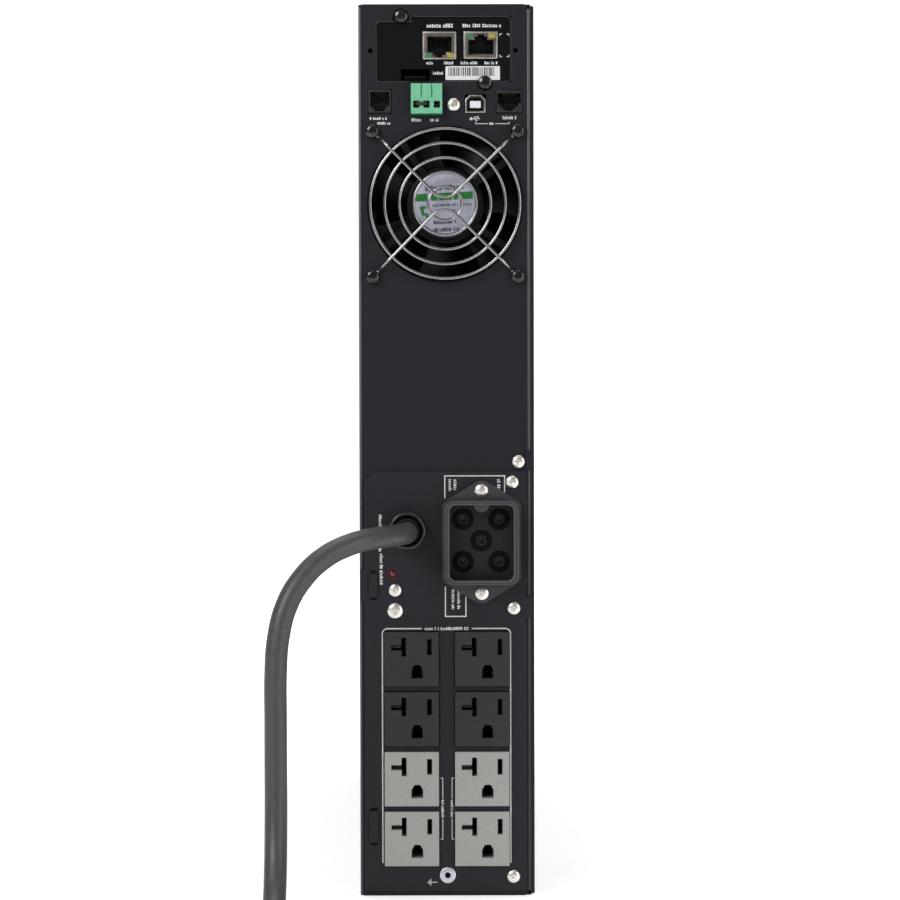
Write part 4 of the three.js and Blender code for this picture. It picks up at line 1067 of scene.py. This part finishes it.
def make_plate_print():
    """White print on the outlet panel: the frame round the outlets, the brackets and the rows of words."""
    y = (PLATE_Y - INK, PLATE_Y + 0.02)
    meshes = []
    left, right, low, top, turn = -32.0, 31.3, 16.4, 132.5, 2.6
    lines(meshes, [
        [(left, low)] + arc(left + turn, top - turn, turn, 180, 90) + [(-12.6, top)],
        [(12.2, top)] + arc(right - turn, top - turn, turn, 90, 0) + [(right, low)],
    ], 0.6, y)
    lines(meshes, [
        [(-1.0, 196.8), (-1.0, 207.9), (28.5, 207.9), (28.5, 199.7)],
        [(-0.8, 153.3), (-0.8, 138.5), (9.3, 138.5), (9.3, 148.0)],
    ], 0.55, y)
    for x, outward in ((-2.35, -1), (2.25, 1)):
        for z0, z1, tip in ((28.2, 38.4, 28.2), (48.2, 58.5, 58.5)):
            lines(meshes, [[(x + outward * 1.1, tip), (x, tip), (x, z1 if tip == z0 else z0)]], 0.34, y)
        words(meshes, x, x + 8.6, 47.6, 1.2, y, upright=True)
    words(meshes, -11.0, 10.6, 132.5, 1.5, y)
    rows = [(4.2, 9.4, 206.2, 1.7), (1.6, 7.4, 206.4, 1.4), (25.6, 31.0, 206.2, 1.5), (5.8, 14.6, 151.0, 1.4)]
    rows += [(3.0, 12.8, 151.8, 1.4), (-32.8, -26.0, 188.8, 1.5), (-33.0, -29.6, 174.0, 1.4)]
    rows += [(-32.4, -16.6, 169.6, 1.5)]
    rows_of_words(meshes, rows, y, upright=True)
    ground = [[(-8.3, 6.8), (-5.0, 6.8)]]
    ground += [[(x, 6.8 - half), (x, 6.8 + half)] for x, half in ((-8.3, 1.6), (-9.0, 1.0), (-9.7, 0.4))]
    lines(meshes, ground, 0.36, y)
    placed("plate_print", gather(meshes), "white_ink", "chassis")


def make_card_print():
    """White print on the network card, and its label with a row of bars."""
    y = (CARD_Y - INK, CARD_Y + 0.02)
    meshes = []
    rows = [(-9.4, 4.0, 429.5, 1.9), (8.2, 27.6, 429.5, 1.7)]
    rows += [(x0, x1, 411.2, 1.4) for x0, x1 in ((-9.6, -6.2), (-0.9, 3.6), (7.2, 15.4), (19.0, 26.0))]
    rows += [(-6.4, -1.4, 406.2, 1.4)]
    rows_of_words(meshes, rows, y)
    for x, sx in ((26.6, 1), (31.0, -1)):
        for z, sz in ((414.2, 1), (425.4, -1)):
            lines(meshes, [[(x + sx * 1.1, z), (x, z), (x, z + sz * 1.0)]], 0.32, y)
    placed("card_print", gather(meshes), "white_ink", "network_card")
    x0, x1, z0, z1 = -0.2, 26.6, 402.8, 409.6
    paper_y = (CARD_Y - 0.14, CARD_Y + 0.02)
    parts = [(plate_mesh([rounded(x0, z0, x1, z1, 0.4)], *paper_y, 0.04), HERE, 0)]
    at = x0 + 1.5
    while at < x1 - 2.4:
        wide = draw.choice((0.26, 0.36, 0.6))
        bar = box_mesh((at, at + wide), (paper_y[0] - 0.03, paper_y[0] + 0.02), (z0 + 2.0, z1 - 0.6))
        parts.append((bar, HERE, 1))
        at += wide + draw.choice((0.26, 0.34, 0.5))
    placed("card_label", gather(parts), ["label_paper", "label_ink"], "network_card")


# ---------------------------------------------------------------- jacks and terminals
LINER_SCALE = 0.985
CONTACT_PITCH = 1.02
LIGHT_SIZE = 3.5
TERMINAL_PITCH = 5.08


def jack_mouth(x0, z0, x1, z1, steps, up):
    """The outline of a modular jack's opening, whose latch notch narrows by steps of (half width, reach)."""
    middle = (x0 + x1) / 2
    side = 1 if up else -1
    start = z1 if up else z0
    right = []
    for half, reach in steps:
        right += [(middle + half, start), (middle + half, start + side * reach)]
        start += side * reach
    notch = right + [(2 * middle - x, z) for x, z in reversed(right)]
    if up:
        return [(x0, z0), (x1, z0), (x1, z1)] + notch + [(x0, z1)]
    return [(x1, z1), (x0, z1), (x0, z0)] + [(2 * middle - x, z) for x, z in notch] + [(x1, z0)]


def jack_parts(outer, mouth, steps, up, y, depth, wires, shield):
    """A jack's face, shell, dark liner and sprung wires, as (mesh, matrix, index) with four materials."""
    x0, z0, x1, z1 = outer
    opening = jack_mouth(*mouth, steps, up)

    def inset(by, radius):
        return rounded(x0 + by, z0 + by, x1 - by, z1 - by, radius, 3)

    if shield:
        parts = [
            (plate_mesh([inset(0, 0.35), inset(0.75, 0.25)], y, y + 0.5, 0.14), HERE, 0),
            (plate_mesh([inset(0.3, 0.3), opening], y + 0.22, y + 0.62, 0.1), HERE, 5),
        ]
    else:
        parts = [(plate_mesh([inset(0, 0.35), opening], y, y + 0.5, 0.12), HERE, 0)]
    parts.append((plate_mesh([inset(0.05, 0.35), inset(0.4, 0.3)], y + 0.4, y + depth), HERE, 0))
    low_x, high_x = min(x for x, _ in opening), max(x for x, _ in opening)
    low_z, high_z = min(z for _, z in opening), max(z for _, z in opening)
    liner = [(low_x - 0.5, low_z - 0.5), (high_x + 0.5, low_z - 0.5)]
    liner += [(high_x + 0.5, high_z + 0.5), (low_x - 0.5, high_z + 0.5)]
    if shield:
        shift_x, shift_z = (low_x + high_x) / 2 * (1 - LINER_SCALE), (low_z + high_z) / 2 * (1 - LINER_SCALE)
        inner = [(x * LINER_SCALE + shift_x, z * LINER_SCALE + shift_z) for x, z in opening]
    else:
        inner = opening
    parts.append((plate_mesh([liner, inner], y + 0.46, y + depth - 3), HERE, 1))
    parts.append((plate_mesh([liner], y + depth - 3.2, y + depth - 2.4), HERE, 1))
    middle = (mouth[0] + mouth[2]) / 2
    roof = mouth[1] if up else mouth[3]
    away = 1 if up else -1
    for i in range(wires):
        x = middle + (i - (wires - 1) / 2) * CONTACT_PITCH
        slope = [(x, y + 2.6, roof + away * 0.5), (x, y + 4, roof + away * 0.7)]
        slope += [(x, y + depth - 4, roof + away * 3.6)]
        parts.append((wire_mesh(slope, 0.17), HERE, 2))
    return parts


def wire_mesh(points, radius):
    """A closed round wire along points in space."""
    sides = 8
    bm = bmesh.new()
    line = [Vector(p) for p in points]
    rows = []
    for i, point in enumerate(line):
        along = (line[min(i + 1, len(line) - 1)] - line[max(i - 1, 0)]).normalized()
        side = along.cross(Vector((0.31, 0.22, 0.93))).normalized()
        other = along.cross(side)
        angles = [2 * math.pi * k / sides for k in range(sides)]
        circle = [point + radius * (math.cos(a) * side + math.sin(a) * other) for a in angles]
        rows.append([bm.verts.new(place) for place in circle])
    for near, far in zip(rows, rows[1:]):
        for k in range(sides):
            bm.faces.new((near[k], near[(k + 1) % sides], far[(k + 1) % sides], far[k]))
    bm.faces.new(rows[0])
    bm.faces.new(rows[-1])
    return mesh_of(bm, smooth=50)


def port_lights(y, places, z):
    """A green and a yellow light in a jack's face, each given by its left edge."""
    return [
        (box_mesh((x, x + LIGHT_SIZE), (y - 0.12, y + 3), z, 0.2), HERE, index)
        for x, index in zip(places, (3, 4))
    ]


def make_jacks():
    shielded = ["jack_shield", "jack_black", "brass", "led_green", "led_yellow", "jack_band"]
    plain = ["jack_black", "jack_black", "brass"]
    y = WALL_Y - 0.6
    outer, mouth = (-11.3, 412.9, 5.1, 426.5), (-9.1, 416.4, 2.9, 424.1)
    ethernet = jack_parts(outer, mouth, [(3.1, 1.5), (1.7, 1.1)], False, y, 20, 8, True)
    ethernet += port_lights(y, (-10.4, 0.7), (413.7, 415.9))
    placed("ethernet_port", gather(ethernet), shielded, "network_card", ["ethernet_jack"])
    outer, mouth = (8.8, 413.1, 25.5, 426.5), (11.1, 415.2, 23.5, 422.4)
    sensor = jack_parts(outer, mouth, [(3.1, 1.7), (1.7, 1.0)], True, y, 20, 8, True)
    sensor += port_lights(y, (9.8, 21.0), (423.3, 425.6))
    placed("sensor_port", gather(sensor), shielded, "network_card", ["sensor_jack"])
    y = WALL_Y - 0.3
    outer, mouth = (-38.1, 386.75, -26.9, 398.1), (-37.2, 389.9, -27.8, 397.0)
    signal = jack_parts(outer, mouth, [(3.4, 1.2), (2.4, 1.2)], False, y, 16, 6, False)
    placed("battery_signal_port", gather(signal), plain, "chassis", ["battery_signal_jack"])
    outer, mouth = (24.9, 386.75, 37.3, 397.7), (25.4, 391.2, 36.8, 396.2)
    serial = jack_parts(outer, mouth, [(4.6, 1.6), (3.2, 1.2), (1.9, 0.9)], False, y, 18, 8, False)
    placed("serial_data_port", gather(serial), plain, "chassis", ["serial_port"])


def usb_outline(inset):
    """A square with its two upper corners cut off, drawn in from the port's shell."""
    x0, x1, z0, z1 = 9.5 + inset, 19.5 - inset, 386.6 + inset, 395.4 - inset
    cut = 2.2 - inset * 0.4
    return [(x0, z0), (x1, z0), (x1, z1 - cut), (x1 - cut, z1), (x0 + cut, z1), (x0, z1 - cut)]


def make_usb():
    y = WALL_Y - 0.5
    parts = [
        (plate_mesh([usb_outline(0), usb_outline(0.65)], y, y + 15, 0.15), HERE, 0),
        (plate_mesh([usb_outline(0.5)], y + 8.6, y + 9.4), HERE, 1),
        (plate_mesh([usb_outline(0.62), usb_outline(1.5)], y + 2.2, y + 9), HERE, 1),
        (box_mesh((11.8, 17.2), (y + 1.1, y + 9), (389.2, 392.5), 0.25), HERE, 2),
    ]
    for x in (13.2, 15.8):
        for z in (389.0, 392.7):
            parts.append((box_mesh((x - 0.5, x + 0.5), (y + 1.5, y + 8), (z - 0.12, z + 0.12)), HERE, 3))
    usb_looks = ["jack_shield", "jack_black", "jack_tongue", "brass"]
    placed("usb_socket", gather(parts), usb_looks, "chassis", ["usb_port"])


def make_terminal_details():
    """Clamp plates inside the terminal's mouths, darkened as painted shade, with a dark plate of painted
    shade behind each, and a wire link between the left two.
    """
    low, high = span("terminal_plug")
    middle = (low.x + high.x) / 2
    y = low.y
    parts = []
    mouths = (middle - TERMINAL_PITCH, middle, middle + TERMINAL_PITCH)
    for x in mouths:
        parts.append((box_mesh((x - 1.35, x + 1.35), (y + 3.4, y + 5.6), (389.0, 389.4)), HERE, 0))
        # A dark plate at the back of the mouth: painted shade.
        parts.append((box_mesh((x - 1.4, x + 1.4), (y + 5.2, y + 5.8), (388.8, 392.0)), HERE, 1))
    for x in mouths:
        head = lathe_mesh([(0, 0), (1.0, 0), (1.15, 0.15), (1.15, 1.2), (0, 1.2)], 24, 40)
        parts.append((head, moved(x, y + 4.7, 390.4), 0))
    placed("terminal_clamps", gather(parts), ["painted_shade_contact_metal", "painted_shade_black"], "terminal_plug")
    stops = ((mouths[0], y + 5), (mouths[0], y - 0.9), (middle, y - 0.9), (middle, y + 5))
    link = [(x, along, 390.6) for x, along in stops]
    wire = wire_curve("terminal_link", [(filleted(link, 1.2, 6), False)], 0.8)
    placed("terminal_link", wire, "jack_black", "terminal_plug")


# ---------------------------------------------------------------- outlets and small fittings
OUTLET_COLUMNS = (-17.6, 17.2)
OUTLET_TOP = 117.45
OUTLET_PITCH = 29.65


# X and Z of each contact, darkened as painted shade, and each slot's dark back of painted shade, from the
# outlet's centre.
CONTACT_BLADES = (
    (-9.9, -5.2, 5.25, 6.1), (-4.85, -4.55, 1.9, 4.4), (-3.05, -2.75, 1.9, 10.2), (7.75, 8.0, 2.5, 9.6),
    (9.6, 9.85, 2.5, 9.6), (0.1, 0.4, -9.0, -5.2), (5.0, 5.3, -9.0, -5.2),
)
SLOT_SHADE_BACKS = ((-10.3, -2.4, 1.3, 10.8), (7.4, 10.2, 2.0, 10.1), (-0.3, 5.7, -9.5, -2.4))


def make_outlet_contacts():
    """Sprung blades darkened as painted shade, and a dark back of painted shade inside each outlet's slots.
    """
    back, front = PLATE_Y + 12, PLATE_Y + 2.6
    parts = []
    for row in range(4):
        for x in OUTLET_COLUMNS:
            z = OUTLET_TOP - row * OUTLET_PITCH
            for boxes, y, index in ((CONTACT_BLADES, (front, back), 0), (SLOT_SHADE_BACKS, (back, back + 1), 1)):
                for x0, x1, z0, z1 in boxes:
                    parts.append((box_mesh((x + x0, x + x1), y, (z + z0, z + z1)), HERE, index))
    placed("outlet_contacts", gather(parts), ["painted_shade_contact_metal", "painted_shade_black"], "chassis")


def make_small_fittings():
    """The fault lamp's lens and collar, and the ground post's washer round a dark socket of painted shade."""
    x, z = centre_of("fault_led").x, centre_of("fault_led").z
    dome = [(0, -1.5), (0.7, -1.4), (1.25, -1.05), (1.6, -0.4), (1.7, 0), (1.75, 0.05), (1.75, 4), (0, 4)]
    lens = lathe_mesh(dome, 32, 60)
    lens.transform(moved(x, PLATE_Y, z))
    placed("fault_lamp", lens, "led_red", "chassis", ["fault_led"])
    collar = lathe_mesh([(1.8, -0.1), (1.95, -0.5), (2.2, -0.5), (2.4, -0.2), (2.4, 0.1), (1.8, 0.1)], 32, 40)
    collar.transform(moved(x, PLATE_Y, z))
    placed("fault_lamp_collar", collar, "led_red", "chassis")
    x, z = centre_of("ground_post").x, centre_of("ground_post").z
    dish = [(1.3, -0.4), (1.5, -0.9), (3.5, -0.9), (3.9, -0.7), (3.95, 0), (2.2, 0), (1.3, 0)]
    washer = lathe_mesh(dish, 48, 40)
    # A near-black plug in the washer's hole: painted shade for the post's bore.
    socket = lathe_mesh([(0, -0.3), (1.25, -0.3), (1.35, 0), (1.35, 4), (0, 4)], 24, 40)
    post = gather([(washer, moved(x, PLATE_Y, z), 0), (socket, moved(x, PLATE_Y, z), 1)])
    placed("ground_washer", post, ["washer", "painted_shade_black"], "chassis", ["ground_post"])


CONTACTS = [(7.9, 186.5), (25.9, 186.5), (17.0, 175.8), (7.9, 165.4), (25.9, 165.4)]


def make_connector_details():
    """The battery connector's floor, darkened as painted shade, with a dark well of painted shade and a metal
    contact darkened as painted shade at each place, and painted highlight lines along its lip.
    """
    y = PLATE_Y + 2.9
    wells = [ring(x, z, 5.5, 36) for x, z in CONTACTS]
    # The floor plate is darkened as painted shade for the recess.
    floor = plate_mesh([rounded(1.45, 157.05, 32.55, 193.75, 3.2)] + wells, y - 0.35, y + 0.02)
    parts = [(floor, HERE, 0)]
    for x, z in CONTACTS:
        # A near-black ring in each well: painted shade for the hole round the contact.
        shade_ring = [(2.7, y - 0.12), (5.6, y - 0.12), (5.6, y + 0.02), (2.7, y + 0.02)]
        parts.append((lathe_mesh(shade_ring, 40, 40, (x, z)), HERE, 1))
        sleeve = [(1.7, y + 0.3), (1.9, y - 0.2), (2.6, y - 0.2)]
        sleeve += [(2.85, y + 0.1), (2.85, y + 1.5), (1.7, y + 1.5)]
        parts.append((lathe_mesh(sleeve, 32, 40, (x, z)), HERE, 0))
        pin = [(0, y + 5), (1.2, y + 5), (1.45, y + 5.4), (1.45, y + 9), (0, y + 9)]
        parts.append((lathe_mesh(pin, 20, 40, (x, z)), HERE, 2))
    well_looks = ["painted_shade_connector_floor", "painted_shade_black", "painted_shade_contact_metal"]
    placed("connector_wells", gather(parts), well_looks, "chassis")
    # Two lighter lines along the shroud's rim: painted highlights for its rounded edges.
    front = span("battery_connector")[0].y
    edge = (front - 0.1, front + 0.3)
    inner = [rounded(0.45, 156.05, 33.45, 194.55, 3.9), rounded(1.15, 156.75, 32.75, 193.85, 3.2)]
    outer = [rounded(-1.15, 154.85, 35.25, 195.95, 5), rounded(-0.75, 155.25, 34.85, 195.55, 4.6)]
    lip = gather([(plate_mesh(inner, *edge, 0.09), HERE, 0), (plate_mesh(outer, *edge, 0.09), HERE, 0)])
    placed("connector_lip_highlights", lip, "lip_plastic", "chassis")


def make_edge_details():
    """The bends at the rear's two long edges as lighter strips of painted highlight, the lid's turned hem,
    and a painted highlight line round the card's opening.
    """
    # A lighter strip on the rear's left edge: a painted highlight for the bend.
    bend = box_mesh((-43.12, -41.9), (WALL_Y - 0.1, WALL_Y + 1.2), (1.2, 438.6), 0.35)
    placed("side_bend", bend, "side_bend", "chassis")
    hem = plate_mesh([rounded(41.1, 0.95, 43.12, 439.05, 0.85)], WALL_Y - 0.1, WALL_Y + 0.4, 0.09)
    # A lighter line along the lid's fold: a painted highlight.
    line = box_mesh((39.95, 41.25), (WALL_Y - 0.14, WALL_Y + 0.6), (2.5, 437.5), 0.13)
    placed("lid_hem", gather([(hem, HERE, 0), (line, HERE, 1)]), ["black_steel", "lid_fold_highlight"], "chassis")
    # A thin light line round the card's opening: a painted highlight for its edge.
    corners = [(-16.2, 431.5), (-34.3, 431.5), (-34.3, 401.9), (31.9, 401.9), (31.9, 434), (-16.2, 434)]
    path = [(p.x, p.y) for p in filleted([(x, z, 0) for x, z in corners], 2.6)]
    rim = stroke_mesh(path, 0.28, WALL_Y - 0.03, WALL_Y + 0.05)
    placed("card_opening_rim_highlight", rim, "rim_paint", "chassis")


make_jacks()
make_usb()
make_terminal_details()
make_outlet_contacts()
make_small_fittings()
make_connector_details()
make_edge_details()


# ---------------------------------------------------------------- front and sides
def facing(axis):
    """Turns a piece that looks along -Y to look along another direction."""
    turns = {"+X": ("Z", 90), "-X": ("Z", -90), "+Z": ("X", -90), "-Z": ("X", 90), "+Y": ("Z", 180)}
    about, degrees = turns[axis]
    return Matrix.Rotation(math.radians(degrees), 4, about)


def make_display_details():
    """Bars and rules on the display window, in place of any reading, and a thin trim round it."""
    low, high = span("display_glass")
    y = (high.y - 0.01, high.y + 0.05)
    parts = []
    for i in range(5):
        z = 306 + i * 6.4
        for x0, x1 in ((-2.6, 2.0), (13.0, 17.6)):
            wide = 0.62 + 0.095 * i
            middle = (x0 + x1) / 2
            parts.append((box_mesh((middle - wide * 2.3, middle + wide * 2.3), y, (z, z + 4.2)), HERE, 0))
    for z in (301.4, 345.6):
        parts.append((box_mesh((-4.2, 19.2), y, (z, z + 0.35)), HERE, 0))
    for x, z in ((-1.5, 348.4), (5.0, 348.4), (11.5, 348.4), (18.0, 348.4)):
        parts.append((plate_mesh([ring(x - 1, z, 1.3, 24), ring(x - 1, z, 0.85, 24)], *y), HERE, 0))
    gauge = [rounded(5.4, 312, 9.8, 333, 0.8), rounded(6.0, 312.6, 9.2, 332.4, 0.5)]
    parts.append((plate_mesh(gauge, *y), HERE, 0))
    parts.append((box_mesh((6.4, 8.8), y, (313, 325.6)), HERE, 0))
    placed("display_readout", gather(parts), "display_ink", "display")
    outside = rounded(low.x - 1.2, low.z - 1.2, high.x + 1.2, high.z + 1.2, 1.6)
    inside = rounded(low.x - 0.2, low.z - 0.2, high.x + 0.2, high.z + 0.2, 0.8)
    trim = plate_mesh([outside, inside], BEZEL_Y - 0.4, BEZEL_Y + 0.35, 0.15)
    placed("display_trim", trim, "jack_black", "display")


def make_button_marks():
    """Plain symbols on the buttons: a ring, two arrows, a dot, and a broken ring with a bar."""

    def arrow(x, z, up):
        side = 1 if up else -1
        return [(x - 1.7, z - side), (x + 1.7, z - side), (x, z + 1.3 * side)][::side]

    for i in range(1, 5):
        name = f"menu_button_{i}"
        middle, y = centre_of(name), span(name)[1].y
        loops = {
            1: [ring(middle.x, middle.z, 1.6, 24), ring(middle.x, middle.z, 1.1, 24)],
            2: [arrow(middle.x, middle.z, False)],
            3: [arrow(middle.x, middle.z, True)],
            4: [ring(middle.x, middle.z, 1.2, 24)],
        }[i]
        mark = plate_mesh(loops, y - 0.02, y + 0.06)
        placed(f"menu_mark_{i}", mark, "label_ink", name)
    middle, y = centre_of("power_button"), span("power_button")[1].y
    broken = arc(middle.x, middle.z, 3.2, 125, 415, 32) + arc(middle.x, middle.z, 2.5, 415, 125, 32)
    mark = gather([
        plate_mesh([broken], y - 0.02, y + 0.06),
        box_mesh((middle.x - 0.35, middle.x + 0.35), (y - 0.02, y + 0.06), (middle.z + 0.6, middle.z + 4)),
    ])
    placed("power_mark", mark, "label_ink", "power_button")


def make_lid_screws():
    """Flat-head screws along the lid, and threaded inserts for rack ears and rails on the long sides."""
    lid_x = span("top_cover")[1].x
    head = lathe_mesh([(0, -0.25), (2.6, -0.25), (3.1, -0.1), (3.15, 0.05), (0, 0.05)], 36, 40)
    head = carved(head, *cross_recess(-0.25, 1.7, 0.22))
    parts = []
    for y in (-188, -60, 70, 188):
        for z in (9.5, 430.5):
            parts.append((head, moved(lid_x, y, z) @ facing("+X"), 0))
    placed("lid_screws", gather(parts, 40), "screw_black", "chassis")
    collar = lathe_mesh([(1.7, -0.45), (2.9, -0.45), (3.2, -0.25), (3.3, 0.05), (1.6, 0.05)], 32, 40)
    # A near-black disc in each insert: painted shade for its threaded bore.
    bore = lathe_mesh([(0, -0.08), (1.75, -0.08), (1.75, 0.04), (0, 0.04)], 24, 40)
    places = [(x, y) for x in (-28, 0, 28) for y in (160, 188)]
    places += [(x, y) for x in (-28, 28) for y in (-170, -20)]
    parts = []
    for x, y in places:
        turn = moved(x, y, CASE_TOP) @ facing("+Z")
        parts += [(collar, turn, 0), (bore, turn, 1)]
    placed("rail_inserts", gather(parts, 40), ["screw_black", "painted_shade_black"], "chassis")


make_guard()
make_fan()
make_wall_print()
make_plate_print()
make_card_print()
make_display_details()
make_button_marks()
make_lid_screws()


# ---------------------------------------------------------------- stage
def make_stage():
    """A pale floor that sweeps up into a backdrop."""
    bm = bmesh.new()
    reach, back, high, bend = 3200, 2600, 3600, 900
    profile = [(-4200, 0)] + arc(back - bend, bend, bend, -90, 0, 15) + [(back, high)]
    rows = [[bm.verts.new((x, y, z)) for x in (-reach, reach)] for y, z in profile]
    for near, far in zip(rows, rows[1:]):
        bm.faces.new((near[0], near[1], far[1], far[0]))
    sweep = bpy.data.objects.new("studio_sweep", mesh_of(bm, "studio_sweep", 60))
    scene.collection.objects.link(sweep)
    paper = Finish("studio_paper", (0.80, 0.80, 0.80), (0.83, 0.83, 0.83), (0.75, 0.85))
    paper.colour(40).gloss(60).relief(2, 0.02, 0.2)
    paper.set(Emission_Color=(1, 1, 1, 1), Emission_Strength=0.42)
    sweep.data.materials.append(paper.material)


def area_light(name, place, aim, size, power):
    data = bpy.data.lights.new(name, "AREA")
    data.shape = "RECTANGLE"
    data.size, data.size_y = size
    data.energy = power
    lamp = bpy.data.objects.new(name, data)
    scene.collection.objects.link(lamp)
    lamp.location = Vector(place)
    lamp.rotation_mode = "QUATERNION"
    lamp.rotation_quaternion = (Vector(aim) - Vector(place)).to_track_quat("-Z", "Y")


def make_lights():
    world = bpy.data.worlds.new("studio")
    world.use_nodes = True
    tree = world.node_tree
    seen = tree.nodes.new("ShaderNodeLightPath")
    strength = tree.nodes.new("ShaderNodeMapRange")
    strength.inputs["To Min"].default_value = 0.32
    strength.inputs["To Max"].default_value = 0.95
    tree.links.new(seen.outputs["Is Camera Ray"], strength.inputs["Value"])
    tree.links.new(strength.outputs["Result"], tree.nodes["Background"].inputs["Strength"])
    tree.nodes["Background"].inputs["Color"].default_value = (1, 1, 1, 1)
    scene.world = world
    target = (0, -0.1, 0.22)
    area_light("key", (-1.1, -1.7, 1.3), target, (0.9, 0.9), 24)
    area_light("fill", (1.5, -1.4, 0.6), target, (0.8, 1.4), 10)
    area_light("top", (0, 0.1, 1.9), target, (1.4, 1.4), 16)
    area_light("front", (0.9, 1.9, 0.9), target, (1.0, 1.0), 18)
    scene.view_settings.view_transform = "Standard"


make_stage()
make_lights()
